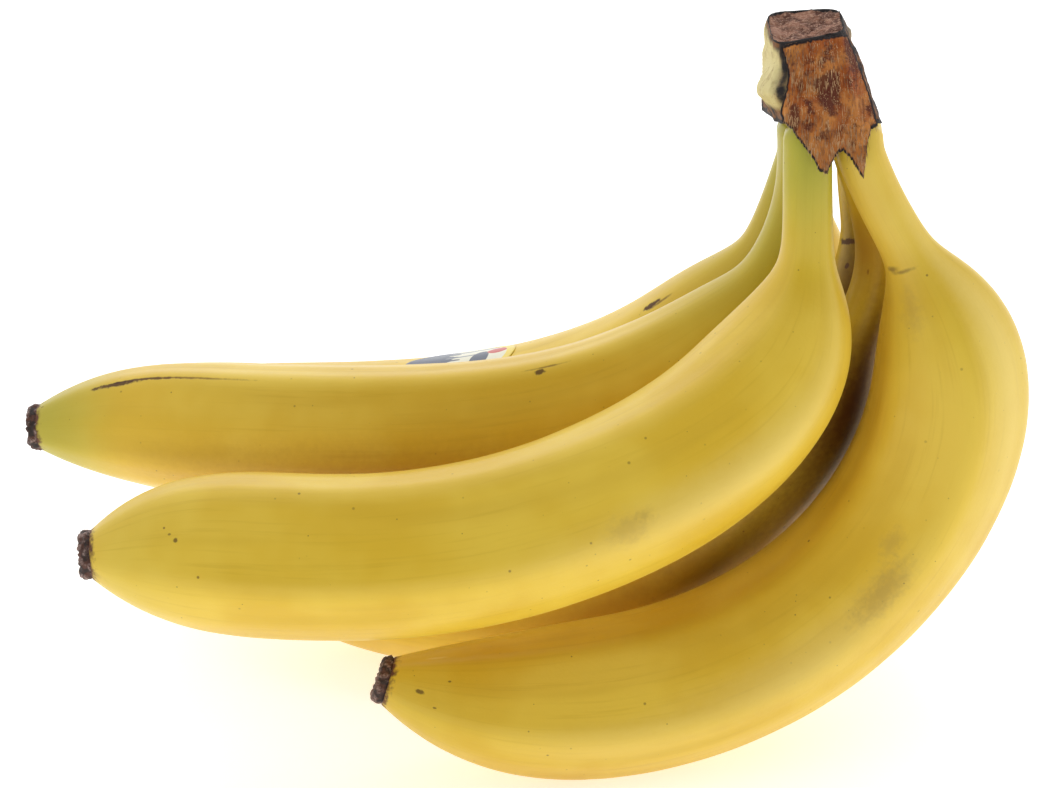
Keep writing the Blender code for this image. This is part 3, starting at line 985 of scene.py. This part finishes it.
class RingStack:
    """Rings of a lofted body from top to foot, each with its painted zones."""

    def __init__(self, sides: int, zones: Sequence[str]) -> None:
        self.sides = sides
        self.rows: list[Sequence[Sequence[float]]] = []
        self.zones: dict[str, list[np.ndarray]] = {name: [] for name in zones}

    def add(self, ring: Sequence[Sequence[float]], **shares: Union[float, np.ndarray]
            ) -> None:
        """Add a ring.

        Args:
            ring: its points.
            shares: how far it belongs to a zone, one number or one for each point. A zone
                that isn't named has no share.
        """
        self.rows.append(ring)
        for name, table in self.zones.items():
            table.append(np.zeros(self.sides) + shares.get(name, 0.0))

    def skin(self, name: str, shift: np.ndarray) -> bpy.types.Mesh:
        """Skin the rings, moved by a shift in millimetres, and store their zones."""
        mesh = surface(name, (np.array(self.rows) + shift) * MM, RowEnd.FAN, RowEnd.FAN)
        for zone, table in self.zones.items():
            paint_points(mesh, zone, [*np.concatenate(table), table[0].mean(),
                                      table[-1].mean()])
        face_outward(mesh)
        return mesh


@dataclass
class Crown:
    """The cut crown: its body, the torn sheet of bark in front and the sheet's fibres.

    Sizes are in millimetres and follow the solid's driving dimensions.
    """

    shift: np.ndarray
    top: float = 168.6
    top_centre: tuple[float, float] = (61.2, 4.2)
    top_half: tuple[float, float] = (8.4, 11.0)
    base_centre: tuple[float, float] = (66.3, 23.6)
    base_half: tuple[float, float] = (11.4, 40.6)
    skew: float = 0.4
    base_front: float = 152.0
    base_back: float = 131.0
    boxiness: float = 5.0
    flare: tuple[float, float] = (0.8, 0.7)
    front_sink: float = 1.6
    sides: int = 220
    rings: int = 70
    cut_rings: int = 22
    cut_dish: float = 1.3
    cut_tilt: float = 0.06
    top_pinch: float = 0.36
    grain_relief: float = 0.35
    lump_relief: float = 0.9
    # The pale wing on the left flank: how far it bulges, and its middle and half size as
    # shares of the way down and back
    wing_bulge: float = 4.8
    wing_down: tuple[float, float] = (0.60, 0.20)
    wing_back: tuple[float, float] = (0.22, 0.22)
    underside_hollow: float = 5.0
    # Down from the sheet's head, with the places of its left and right edge
    sheet_across: tuple[tuple[float, float, float], ...] = (
        (0.0, -8.0, 7.2), (4.5, -6.6, 9.0), (8.0, -6.0, 10.2), (12.0, -6.6, 11.5),
        (16.0, -7.8, 12.6), (20.9, -6.8, 13.6))
    # Across the sheet and down, along its torn foot from left to right
    sheet_foot: tuple[tuple[float, float], ...] = (
        (-6.8, 18.6), (-5.3, 20.7), (-4.3, 22.6), (-2.6, 25.0), (-1.2, 27.0), (0.1, 29.4),
        (0.7, 30.0), (2.1, 30.4), (3.1, 28.0), (4.4, 26.0), (5.5, 25.6), (7.0, 26.6),
        (9.1, 29.0), (10.2, 30.6), (10.5, 26.8), (11.0, 22.9), (11.9, 20.2), (13.6, 19.5))
    sheet_head: tuple[float, float, float] = (62.4, -7.5, 169.3)
    sheet_way: tuple[float, float, float] = (0.0, -0.545, -0.838)
    sheet_out: tuple[float, float, float] = (0.0, -0.838, 0.545)
    sheet_columns: int = 150
    sheet_rows: int = 110
    sheet_thickness: float = 0.9
    sheet_bow: float = 2.6
    sheet_fold: float = 0.5
    sheet_wave: float = 0.45
    sheet_ripple: float = 0.13
    foot_hug: float = 2.2
    tongue_hug: float = 3.0
    neck_cover: float = 1.3
    straight_from: float = 20.0
    fibre_length: float = 2.6
    fibre_radius: float = 0.10
    fibre_density: float = 2.9e6
    fibre_scale: tuple[float, float] = (0.35, 1.1)
    fibre_sway: tuple[tuple[float, float, float], tuple[float, float, float]] = (
        (-0.25, -0.12, -0.16), (0.25, 0.12, 0.02))
    fibre_seed: int = 4

    def rim_height(self, y: np.ndarray) -> np.ndarray:
        """Height of the lower rim, in the frame, at places along the crown."""
        back = (y - self.shift[1] - self.base_centre[1] + self.base_half[1]) / (
            2 * self.base_half[1])
        return (self.base_front + (self.base_back - self.base_front)
                * np.clip(back, 0.0, 1.0) + self.shift[2])

    def build(self) -> None:
        """Build and dress every piece of the crown."""
        settle(make_object(self._body(), CutFinish().dress()), "crown_bark", "crown")
        sheet = make_object(self._sheet(), BarkFinish().dress())
        settle(sheet, "crown_bark")
        self._fibres(sheet)

    def _outline(self, centre: np.ndarray, half: np.ndarray) -> tuple[np.ndarray, np.ndarray]:
        """A rounded box in plan, as x and y of each side point."""
        angle = np.linspace(0.0, 2 * math.pi, self.sides, endpoint=False)
        c, s = np.cos(angle), np.sin(angle)
        power = 2 / self.boxiness
        return (np.sign(c) * np.abs(c) ** power * half[0] + centre[0],
                np.sign(s) * np.abs(s) ** power * half[1] + centre[1])

    def _body(self) -> bpy.types.Mesh:
        """Loft the crown body from the cut face to its underside."""
        stack = RingStack(self.sides, ("cut", "rim", "pale", "fresh"))
        self._cut_face(stack)
        self._flanks(stack)
        self._underside(stack)
        return stack.skin("crown_body", self.shift)

    def _cut_face(self, stack: RingStack) -> None:
        """Add the rings of the rough, dished cut face, from its middle outwards."""
        centre, half = self.top_centre, self.top_half
        x, y = self._outline(np.array(centre), np.array(half))
        for share in np.linspace(0.04, 0.96, self.cut_rings):
            ring = []
            for px, py in zip(x, y):
                qx = centre[0] + (px - centre[0]) * share
                qy = centre[1] + (py - centre[1]) * share
                qy += self.skew * (qx - centre[0]) * (centre[1] + half[1] - qy) / (2 * half[1])
                rough = 0.75 * smoke((qx, qy, 4.0), 0.35) + 0.3 * smoke((qx, qy, 9.0), 1.4)
                ring.append((qx, qy, self.top + rough + self.cut_tilt * (qx - centre[0])
                             - self.cut_dish * (1 - share ** 4)))
            stack.add(ring, cut=1.0, rim=smooth_step(share, 0.86, 1.0))

    def _flanks(self, stack: RingStack) -> None:
        """Add the rings of the flanks, from the cut face to the lower rim."""
        top_c, top_h = np.array(self.top_centre), np.array(self.top_half)
        base_c, base_h = np.array(self.base_centre), np.array(self.base_half)
        for t in np.linspace(0.0, 1.0, self.rings):
            flare = [t ** power for power in self.flare]
            centre = top_c + (base_c - top_c) * flare
            half = top_h + (base_h - top_h) * flare
            x, y = self._outline(centre, half)
            back = np.clip((y - centre[1] + half[1]) / (2 * half[1]), 0.0, 1.0)
            y += self.front_sink * smooth_step(back, 0.12, 0.0) * min(1.0, t * 8)
            y += self.skew * (x - centre[0]) * (1 - t) * (1 - back)
            base = self.base_front + (self.base_back - self.base_front) * back
            z = self.top + (base - self.top) * t + self.cut_tilt * (x - centre[0]) * (1 - t)
            left = smooth_step((centre[0] - x) / half[0], 0.55, 0.95)
            right = smooth_step((x - centre[0]) / half[0], 0.55, 0.95)
            wing = left * math.exp(-((t - self.wing_down[0]) / self.wing_down[1]) ** 2)
            wing = wing * np.exp(-((back - self.wing_back[0]) / self.wing_back[1]) ** 2)
            ring = []
            for i in range(self.sides):
                relief = (self.grain_relief * smoke((x[i], y[i], z[i] * 0.12), 0.9)
                          + self.lump_relief * smoke((x[i], y[i], z[i]), 0.16, 2))
                away = np.array([x[i] - centre[0], y[i] - centre[1]]) / half
                away /= np.linalg.norm(away)
                push = (relief * min(1.0, t * 6 + 0.25) + self.wing_bulge * wing[i]
                        - self.top_pinch * (1 - t))
                ring.append((x[i] + away[0] * push, y[i] + away[1] * push, z[i]))
            edge = max(math.exp(-(t / 0.025) ** 2), 0.9 * smooth_step(t, 0.90, 0.99))
            front_left = left * smooth_step(back, 0.10, 0.02)
            flank = np.maximum(left, 0.35 * right * smooth_step(back, 0.2, 0.5))
            between = smooth_step(t, 0.06, 0.16) * smooth_step(t, 0.86, 0.74)
            stack.add(ring, cut=float(t == 0), rim=np.maximum(edge, front_left),
                      pale=flank * between * (1 - front_left))

    def _underside(self, stack: RingStack) -> None:
        """Add the rings of the underside, hollowed a little between the necks."""
        rim = np.array(stack.rows[-1])
        middle = rim.mean(axis=0)
        for share in (0.94, 0.8, 0.55, 0.25):
            lift = np.array([0.0, 0.0, self.underside_hollow * (1 - share)])
            stack.add(middle + (rim - middle) * share + lift, fresh=1.0)

    def _sheet_point(self, u: float, w: float) -> tuple[float, float, float]:
        """Place on the torn front sheet.

        Args:
            u: share of the way from its left to its right edge.
            w: share of the way from its top to its foot.

        Returns:
            Across, down and how near the point is to an edge, from 0 to 1.
        """
        downs, lefts, rights = zip(*self.sheet_across)
        foot_x = np.array([p[0] for p in self.sheet_foot])
        foot_y = np.array([p[1] for p in self.sheet_foot])
        wide_left, wide_right = lefts[-1], rights[-1]
        foot = float(np.interp(wide_left + (wide_right - wide_left) * u, foot_x, foot_y))
        foot += 0.45 * noise.noise(Vector((u * 60.0, 0.0, 0.0))) + 0.25 * noise.noise(
            Vector((u * 170.0, 5.0, 0.0)))
        head = 1.2 - 1.0 * u + 0.3 * noise.noise(Vector((u * 25.0, 9.0, 0.0)))
        down = head + (foot - head) * w
        left = float(np.interp(down, downs, lefts)) + 0.25 * noise.noise(
            Vector((down * 1.1, 2.0, 0.0)))
        right = float(np.interp(down, downs, rights)) + 0.2 * noise.noise(
            Vector((down * 1.3, 7.0, 0.0)))
        across = left + (right - left) * u
        gap = min((foot - down) * 0.75, across - left, right - across, (down - head) * 0.7)
        return across, down, float(1.0 - smooth_step(gap, 0.0, 0.9))

    def _sheet_place(self, across: float, down: float, depth: float) -> np.ndarray:
        """Point of the front sheet in the frame, depth millimetres under its face."""
        top_edge = np.array(self.sheet_head) + self.shift
        way, out = np.array(self.sheet_way), np.array(self.sheet_out)
        half = 8.0 + 0.18 * down
        bow = -self.sheet_bow * abs((across - 0.16 * down) / half) ** 2.4
        fold = self.sheet_fold * math.exp(-((across - 5.5 - 0.18 * down) / 1.2) ** 2)
        # The foot hugs the necks behind it, and the sheet swells over the front neck's root
        hug = (self.foot_hug * smooth_step(down, 26.0, 33.0)
               + self.tongue_hug * smooth_step(down, 20.0, 33.0) * smooth_step(across, 5.0, 9.0))
        cover = (self.neck_cover * math.exp(-((across + 1.5) / 5.0) ** 2)
                 * smooth_step(down, 12.0, 19.0))
        wave = self.sheet_wave * noise.noise(Vector((across * 0.28, down * 0.16, 0.5)))
        ripple = self.sheet_ripple * noise.fractal(
            Vector((across * 1.9, down * 0.22, 2.0)), 1.0, 2.0, 3)
        lift = bow + fold - hug + wave + ripple + cover - depth
        # The head follows the skewed rim of the cut face, the rest runs straight across
        fall = self.skew * (across + top_edge[0] - self.shift[0] - self.top_centre[0])
        fall *= 1.0 - float(np.clip(down / self.straight_from, 0.0, 1.0))
        return top_edge + np.array([across, fall, 0.0]) + way * down + out * lift

    def _sheet(self) -> bpy.types.Mesh:
        """Build the torn sheet as a closed plate with ragged lobes at its foot."""
        rows, columns = self.sheet_rows, self.sheet_columns
        grid = [[self._sheet_point(u, w) for u in np.linspace(0.0, 1.0, columns)]
                for w in np.linspace(0.0, 1.0, rows)]
        verts, sheet, edges, lows = [], [], [], []
        for depth in (0.0, self.sheet_thickness):
            for line in grid:
                for across, down, edge in line:
                    verts.append(tuple(self._sheet_place(across, down, depth) * MM))
                    sheet.append((across * MM, down * MM, 0.0))
                    edges.append(edge if depth == 0 else 1.0)
                    lows.append(float(smooth_step(down, 16.0, 27.0)))
        faces, size = [], rows * columns
        for r in range(rows - 1):
            for c in range(columns - 1):
                a = r * columns + c
                quad = (a, a + 1, a + columns + 1, a + columns)
                faces += [quad, tuple(v + size for v in reversed(quad))]
        loop = (list(range(columns)) + [r * columns + columns - 1 for r in range(1, rows)]
                + [(rows - 1) * columns + c for c in range(columns - 2, -1, -1)]
                + [r * columns for r in range(rows - 2, 0, -1)])
        for a, b in zip(loop, loop[1:] + loop[:1]):
            faces.append((b, a, a + size, b + size))
        mesh = bpy.data.meshes.new("crown_front_sheet")
        mesh.from_pydata(verts, [], faces)
        layer = mesh.attributes.new("sheet", "FLOAT_VECTOR", "POINT")
        layer.data.foreach_set("vector", np.array(sheet, np.float32).ravel())
        paint_points(mesh, "edge", edges)
        paint_points(mesh, "low", lows)
        face_outward(mesh)
        return mesh

    def _fibres(self, sheet: bpy.types.Object) -> None:
        """Grow short straw fibres that run down the sheet's face."""
        tree = GeometryTree("bark_fibres", {
            "Density": "Float", "Fibre Length": "Float", "Fibre Radius": "Float",
            "Seed": "Int", "Straw": "Material"})
        wire, given = tree.wire, tree.given
        scatter = wire.node("GeometryNodeDistributePointsOnFaces")
        wire.feed(scatter.inputs["Mesh"], given["Geometry"])
        wire.feed(scatter.inputs["Density"], given["Density"])
        wire.feed(scatter.inputs["Seed"], given["Seed"])
        inside = wire.math("LESS_THAN", tree.read("edge"), 0.4)
        wire.feed(scatter.inputs["Selection"], inside)
        blade = wire.node("GeometryNodeMeshCone")
        for name, value in (("Vertices", 4), ("Radius Top", 0.0),
                            ("Radius Bottom", given["Fibre Radius"]),
                            ("Depth", given["Fibre Length"])):
            wire.feed(blade.inputs[name], value)
        # The blade's long axis lies down the grain, a few degrees off at random
        sway = wire.node("FunctionNodeRandomValue", data_type="FLOAT_VECTOR")
        sway.inputs[0].default_value, sway.inputs[1].default_value = self.fibre_sway
        wire.feed(sway.inputs["Seed"], given["Seed"])
        grain = wire.vector("ADD", self.sheet_way, sway.outputs[0])
        turn = wire.node("FunctionNodeAlignRotationToVector", axis="Z")
        wire.feed(turn.inputs["Vector"], grain)
        size = wire.node("FunctionNodeRandomValue", data_type="FLOAT")
        size.inputs[2].default_value, size.inputs[3].default_value = self.fibre_scale
        wire.feed(size.inputs["Seed"], given["Seed"])
        grown = wire.node("GeometryNodeInstanceOnPoints")
        for name, value in (("Points", scatter.outputs["Points"]),
                            ("Instance", blade.outputs["Mesh"]),
                            ("Rotation", turn.outputs[0]), ("Scale", size.outputs[1])):
            wire.feed(grown.inputs[name], value)
        tree.finish(grown.outputs[0], given["Straw"])
        item = make_object(sheet.data.copy(), None)
        item.name = "crown_fibres"
        tree.apply(item, Density=self.fibre_density, Fibre_Length=self.fibre_length * MM,
                   Fibre_Radius=self.fibre_radius * MM, Seed=self.fibre_seed,
                   Straw=StrawFinish().dress())
        settle(item, "crown_bark")


@dataclass(frozen=True)
class LabelFinish:
    """Printed film: yellow border, pale field, blue-grey end, thin lines and a red disc."""

    blue: tuple[float, float, float] = (0.065, 0.085, 0.135)
    grey: tuple[float, float, float] = (0.22, 0.24, 0.27)
    yellow: tuple[float, float, float] = (0.86, 0.66, 0.08)
    pale: tuple[float, float, float] = (0.80, 0.78, 0.62)
    red: tuple[float, float, float] = (0.55, 0.035, 0.025)
    # Height on the oval and half width of each thin line
    lines: tuple[tuple[float, float], ...] = ((-0.62, 0.05), (-0.22, 0.03), (0.30, 0.03))

    def dress(self) -> bpy.types.Material:
        """Build the film's material on the oval's own coordinates, from -1 to 1."""
        finish = Finish("label_film")
        wire = finish.wire
        oval = wire.attribute("oval").outputs["Vector"]
        x, y, _ = wire.split(oval)
        wave = wire.noise(wire.vector("MULTIPLY", oval, (0.012, 0.03, 0.03)), 260.0, 2.0)
        end = wire.step(wire.math("ADD", x, wave), 0.62, 0.68)
        colour = wire.mix(end, self.pale, self.blue)
        for place, width in self.lines:
            near = wire.math("ABSOLUTE", wire.math("SUBTRACT", y, place))
            inside = wire.math("MULTIPLY", wire.step(near, width + 0.015, width),
                               wire.step(x, 0.30, 0.28))
            colour = wire.mix(inside, colour, self.grey)
        patch = wire.vector("MULTIPLY", wire.vector("SUBTRACT", oval, (-0.36, 0.05, 0.0)),
                            (1.0, 0.38, 0.0))
        patch = wire.step(wire.vector("LENGTH", patch), 0.17, 0.155)
        colour = wire.mix(patch, colour, self.blue)
        disc = wire.step(wire.vector("DISTANCE", oval, (-0.66, -0.30, 0.0)), 0.215, 0.20)
        colour = wire.mix(disc, colour, self.red)
        border = wire.math("MULTIPLY", wire.step(wire.vector("LENGTH", oval), 0.84, 0.855),
                           wire.step(x, 0.25, 0.15))
        colour = wire.mix(border, colour, self.yellow)
        dust = wire.noise(finish.object, 1800.0, 2.0)
        finish.bump(dust, 0.02 * MM, 0.3)
        return finish.paint(colour, wire.math("MULTIPLY_ADD", dust, 0.15, 0.24))


@dataclass
class Label:
    """The thin oval label on one finger."""

    finger: Finger
    peel: bpy.types.Object
    station: float = 0.55
    turn: float = 276.0
    half: tuple[float, float] = (14.5, 11.5)
    lift: float = 0.10
    thickness: float = 0.09
    start_height: float = 40.0
    rings: int = 26
    sides: int = 96

    def build(self) -> bpy.types.Object:
        """Lay the oval on the peel and give it its material."""
        finger = self.finger
        index = round(finger.neck_rings + self.station * (finger.rings - 1))
        turn = math.radians(self.turn)
        out = math.cos(turn) * finger.side[index] + math.sin(turn) * finger.belly[index]
        along = finger.tangent[index]
        across = np.cross(out, along)
        centre = finger.line[index] * MM
        tree = BVHTree.FromPolygons([v.co.copy() for v in self.peel.data.vertices],
                                    [p.vertices[:] for p in self.peel.data.polygons])
        rows, uvs = [], []
        for share in np.linspace(0.03, 1.0, self.rings):
            row = []
            for a in np.linspace(0.0, 2 * math.pi, self.sides, endpoint=False):
                u, v = share * math.cos(a), share * math.sin(a)
                lean = v * self.half[1] / finger.radius
                way = -(out * math.cos(lean) + across * math.sin(lean))
                start = centre + (along * u * self.half[0] - way * self.start_height) * MM
                hit, normal, _, _ = tree.ray_cast(Vector(start), Vector(way))
                row.append(hit + normal * self.lift * MM)
                uvs.append((u, v, 0.0))
            rows.append(row)
        mesh = surface("label_sheet", np.array(rows), RowEnd.FAN, RowEnd.OPEN)
        layer = mesh.attributes.new("oval", "FLOAT_VECTOR", "POINT")
        layer.data.foreach_set("vector", np.array([*uvs, (0.0, 0.0, 0.0)], np.float32).ravel())
        item = make_object(mesh, LabelFinish().dress())
        self._face_along(mesh, out)
        shell = item.modifiers.new("thickness", "SOLIDIFY")
        shell.thickness, shell.offset = self.thickness * MM, 1.0
        realise(item)
        settle(item, "label_film", "fruit_label")
        return item

    @staticmethod
    def _face_along(mesh: bpy.types.Mesh, out: np.ndarray) -> None:
        """Turn an open sheet over if it faces inwards."""
        mesh.update()
        if sum((p.normal for p in mesh.polygons), Vector()).dot(Vector(out)) < 0:
            mesh.flip_normals()


@dataclass
class Studio:
    """Camera, pale floor and soft lights."""

    shift: np.ndarray
    aim_height: float = 82.8
    elevation: float = 22.0
    distance: float = 0.8
    focal_pixels: float = 3520.0
    image_width: float = 1054.0
    sensor: float = 36.0
    floor_size: float = 6.0
    floor_drop: float = 0.05
    floor_tones: tuple[float, float] = (0.92, 0.94)
    floor_glow: float = 0.51
    around: float = 1.29
    front: float = 0.23
    boxes: tuple[tuple[str, tuple[float, float, float], float, float], ...] = (
        ("back_box", (0.1, 1.3, 1.3), 1.6, 1.5),)

    @property
    def target(self) -> Vector:
        """The point that the camera looks at."""
        return Vector(self.shift + (0.0, 0.0, self.aim_height)) * MM

    def build(self) -> None:
        """Set up the whole studio."""
        self._camera()
        self._floor()
        self._lights()

    def _camera(self) -> None:
        """Put the camera where the photograph was taken from."""
        data = bpy.data.cameras.new("camera")
        data.sensor_width = self.sensor
        data.lens = self.focal_pixels / self.image_width * self.sensor
        data.clip_start, data.clip_end = 0.01, 30.0
        camera = bpy.data.objects.new("camera", data)
        bpy.context.scene.collection.objects.link(camera)
        tilt = math.radians(self.elevation)
        back = Vector((0.0, -math.cos(tilt), math.sin(tilt)))
        camera.location = self.target + back * self.distance
        camera.rotation_euler = back.to_track_quat("Z", "Y").to_euler()
        bpy.context.scene.camera = camera

    def _floor(self) -> None:
        """Lay a wide pale floor just under the resting plane."""
        half = self.floor_size / 2
        mesh = bpy.data.meshes.new("floor")
        corners = [(-half, -half), (half, -half), (half, half), (-half, half)]
        drop = -self.floor_drop * MM
        mesh.from_pydata([(x, y, drop) for x, y in corners], [], [(0, 1, 2, 3)])
        finish = Finish("floor")
        wire = finish.wire
        tone = wire.noise(finish.object, 3.0, 2.0)
        dark, light = ((value,) * 3 for value in self.floor_tones)
        floor = make_object(mesh, finish.paint(wire.mix(tone, dark, light), 0.9, 0.1))
        finish.shader.inputs["Emission Color"].default_value = (1.0, 1.0, 1.0, 1.0)
        finish.shader.inputs["Emission Strength"].default_value = self.floor_glow

    def _lights(self) -> None:
        """Bright surroundings that are dim on the camera's side, and a soft box behind."""
        scene = bpy.context.scene
        scene.view_settings.view_transform = "Standard"
        world = bpy.data.worlds.new("studio")
        scene.world = world
        world.use_nodes = True
        wire = Wiring(world.node_tree)
        way = wire.node("ShaderNodeTexCoord").outputs["Generated"]
        tilt = math.radians(self.elevation)
        camera_side = wire.vector("DOT_PRODUCT", way, (0.0, -math.cos(tilt), math.sin(tilt)))
        background = world.node_tree.nodes["Background"]
        background.inputs["Color"].default_value = (1.0, 1.0, 1.0, 1.0)
        wire.feed(background.inputs["Strength"],
                  wire.step(camera_side, 0.15, 0.95, self.around, self.front))
        for name, place, size, power in self.boxes:
            data = bpy.data.lights.new(name, "AREA")
            data.shape, data.size, data.energy = "SQUARE", size, power
            lamp = bpy.data.objects.new(name, data)
            scene.collection.objects.link(lamp)
            lamp.location = place
            aim = self.target - Vector(place)
            lamp.rotation_euler = aim.to_track_quat("-Z", "Y").to_euler()


def frame_shift(crown: type[Crown]) -> np.ndarray:
    """Place of the frame against the driving dimensions, read from the crown's box.

    Args:
        crown: the crown's class, whose defaults are the driving dimensions.

    Returns:
        The shift in millimetres.
    """
    low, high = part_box("crown")
    return np.array([
        high.x / MM - crown.base_centre[0] - crown.base_half[0],
        low.y / MM - crown.base_centre[1] + crown.base_half[1],
        high.z / MM - crown.top])


def fingers() -> list[Finger]:
    """The seven bananas, in the frame's order."""
    return [
        Finger("front_outer", hub=(72.2, -5.0, 152), root=(73.3, -9.2, 141.9),
               length=226.4, radius=18.8, azimuth=(9.3, 16),
               headings=(-21.6, -29.2, 3.9, 46.5, 85.4, 105.9), roll=6,
               shape=(26, 16, 1.28, 70.4), tip_turn=-19, seed=1.0, lean=1.0,
               finish=PeelFinish(neck_green=0.10, marks=(
                   # A thin dark band round the crease where the neck meets the body
                   Mark(MarkKind.BRUISE, 25.0, 303, 1.1, 7.0, 0.85),
                   Mark(MarkKind.BRUISE, 26.0, 325, 0.7, 12.0, 0.75),
                   # Painted highlights: the lit neck, the bright outer edge and the belly
                   Mark(MarkKind.GLOW, 10.0, 325, 36.0, 40.0, 0.30),
                   Mark(MarkKind.GLOW, 56.0, 38, 62.0, 11.0, 0.65),
                   Mark(MarkKind.GLOW, 132.0, 358, 50.0, 11.0, 0.50),
                   Mark(MarkKind.GLOW, 178.0, 13, 32.0, 10.0, 0.35),
                   Mark(MarkKind.SCUFF, 34.0, 322, 8.0, 7.0, 0.30),
                   Mark(MarkKind.SCUFF, 107.0, 352, 14.0, 5.5, 0.50),
                   Mark(MarkKind.SCUFF, 96.0, 335, 6.0, 3.5, 0.35),
                   Mark(MarkKind.SCAR, 219.5, 337, 1.2, 1.2, 0.75),
                   Mark(MarkKind.SCAR, 215.5, 352, 0.6, 0.6, 0.70),
                   Mark(MarkKind.SCAR, 213.5, 318, 0.5, 0.6, 0.70),
                   Mark(MarkKind.PALE, 217.5, 285, 3.2, 1.0, 0.70)))),
        Finger("front_inner", hub=(62.0, -7.2, 156), root=(60.9, -13.9, 149),
               length=218.8, radius=18.6, azimuth=(53.4, -24.6),
               headings=(-0.4, 0.1, 46.4, 73.1, 87.2, 87.4), roll=5,
               shape=(30.4, 15.1, 1.2, 44), tip_turn=26, seed=2.0, lean=1.0,
               finish=PeelFinish(neck_green=0.85, neck_reach=46.0, marks=(
                   # Painted highlight along the belly
                   Mark(MarkKind.GLOW, 80.0, 0, 60.0, 10.0, 0.50),
                   Mark(MarkKind.SCUFF, 104.0, 356, 7.0, 5.0, 0.32),
                   Mark(MarkKind.SCUFF, 100.0, 350, 3.0, 2.0, 0.35),
                   Mark(MarkKind.SCAR, 198.0, 327, 0.9, 0.8, 0.75),
                   Mark(MarkKind.SCAR, 199.5, 322, 0.5, 0.4, 0.60),
                   Mark(MarkKind.BRUISE, 219.0, 20, 4.0, 3.5, 0.35)))),
        Finger("second_outer", hub=(70.5, 9.0, 147), root=(79.6, 13.9, 116.8),
               length=211.1, radius=17.7, azimuth=(1.4, -23.4),
               headings=(-9.9, 26.8, 34.3, 57.1, 92.2, 100.1), roll=12,
               shape=(24.3, 15.5, 1.3, 52), seed=3.0,
               finish=PeelFinish(marks=(
                   Mark(MarkKind.BRUISE, 8.0, 330, 1.0, 1.4, 0.80),
                   # Painted shade on the neck, and painted shadow down the stretch that lies in
                   # the gap between the front fingers
                   Mark(MarkKind.PAINTED_SHADE, 2.0, 313, 20.0, 30.0, 0.65),
                   Mark(MarkKind.PAINTED_GAP_SHADOW, 38.0, 34, 50.0, 24.0, 0.97),
                   Mark(MarkKind.PAINTED_GAP_SHADOW, 84.0, 18, 34.0, 11.0, 0.60),
                   Mark(MarkKind.PAINTED_SHADE, 112.0, 5, 40.0, 9.0, 0.60)))),
        Finger("middle_inner", hub=(61.0, 11.6, 150), root=(61.5, 12.3, 129),
               length=209.8, radius=16.7, azimuth=(15.2, -30.5),
               headings=(5.6, 33.2, 61.1, 81.9, 84.7, 85.2), roll=9,
               shape=(25.5, 16.9, 0.88, 57), tip_turn=26, seed=4.0,
               ridge_height=0.048, ridge_sharpness=2.6,
               finish=PeelFinish(neck_green=0.8, neck_reach=70.0, tip_green=0.6, marks=(
                   Mark(MarkKind.SCAR, 187.0, 298, 8.0, 0.95, 0.92),
                   Mark(MarkKind.SCAR, 180.0, 296.5, 14.0, 0.45, 0.85),
                   Mark(MarkKind.BRUISE, 168.0, 296, 22.0, 0.50, 0.75),
                   Mark(MarkKind.SCAR, 82.2, 300, 1.6, 0.8, 0.85),
                   Mark(MarkKind.BRUISE, 80.0, 297, 7.0, 0.4, 0.70),
                   Mark(MarkKind.SCAR, 208.0, 293, 0.5, 0.5, 0.80),
                   # Painted shade along the underside, where the front finger shades it
                   Mark(MarkKind.PAINTED_SHADE, 118.0, 20, 85.0, 14.0, 0.75)))),
        Finger("third_outer", hub=(73.0, 37.5, 143), root=(78.1, 45.8, 127.1),
               length=221.4, radius=18.1, azimuth=(-41.3, -12.7),
               headings=(0.3, -17.4, 10.2, 62, 90.1, 101.9), roll=0,
               shape=(20, 15.1, 1.3, 52), seed=5.0,
               finish=PeelFinish(marks=(
                   Mark(MarkKind.SCAR, 21.5, 350, 0.9, 12.0, 0.90),
                   Mark(MarkKind.SCAR, 26.5, 352, 0.8, 1.6, 0.80),
                   # Painted shadow where the finger shows deep in the gap
                   Mark(MarkKind.PAINTED_GAP_SHADOW, 34.0, 8, 32.0, 20.0, 0.92)))),
        Finger("back_inner", hub=(61.0, 31.6, 146), root=(62.6, 31.9, 128.2),
               length=213, radius=17.9, azimuth=(-24.3, -7.1),
               headings=(15.9, 23, 49, 72.5, 84.3, 81.2), roll=14,
               shape=(24.2, 15.5, 1.3, 50), seed=6.0,
               finish=PeelFinish(neck_green=0.7, neck_reach=70.0, tip_green=0.4, marks=(
                   Mark(MarkKind.SCAR, 52.5, 303, 4.0, 1.2, 0.95),
                   Mark(MarkKind.BRUISE, 49.0, 306, 6.0, 0.7, 0.80)))),
        Finger("back_outer", hub=(66.9, 52.0, 137), root=(66.9, 57.6, 131.7),
               length=212.2, radius=18.2, azimuth=(-76.7, -29.4),
               headings=(1.6, 9.9, 28.9, 53.7, 79.7, 98), roll=8,
               shape=(24, 15.1, 1.3, 52), seed=7.0, lean=-1.0,
               finish=PeelFinish()),
    ]


def main() -> None:
    """Build the bunch around the frame, then the studio."""
    logging.basicConfig(level=logging.INFO, format="%(name)s: %(message)s")
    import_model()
    shift = frame_shift(Crown)
    crown = Crown(shift)
    sweep, stub = peel_sweep(), StubFinish().dress()
    for finger in fingers():
        finger.lay_out(shift, crown.rim_height)
        peel = finger.build(sweep)
        BlossomEnd(finger).build(stub)
        if finger.name == "back_inner":
            Label(finger, peel).build()
    crown.build()
    Studio(shift).build()


if __name__ == "__main__":
    main()
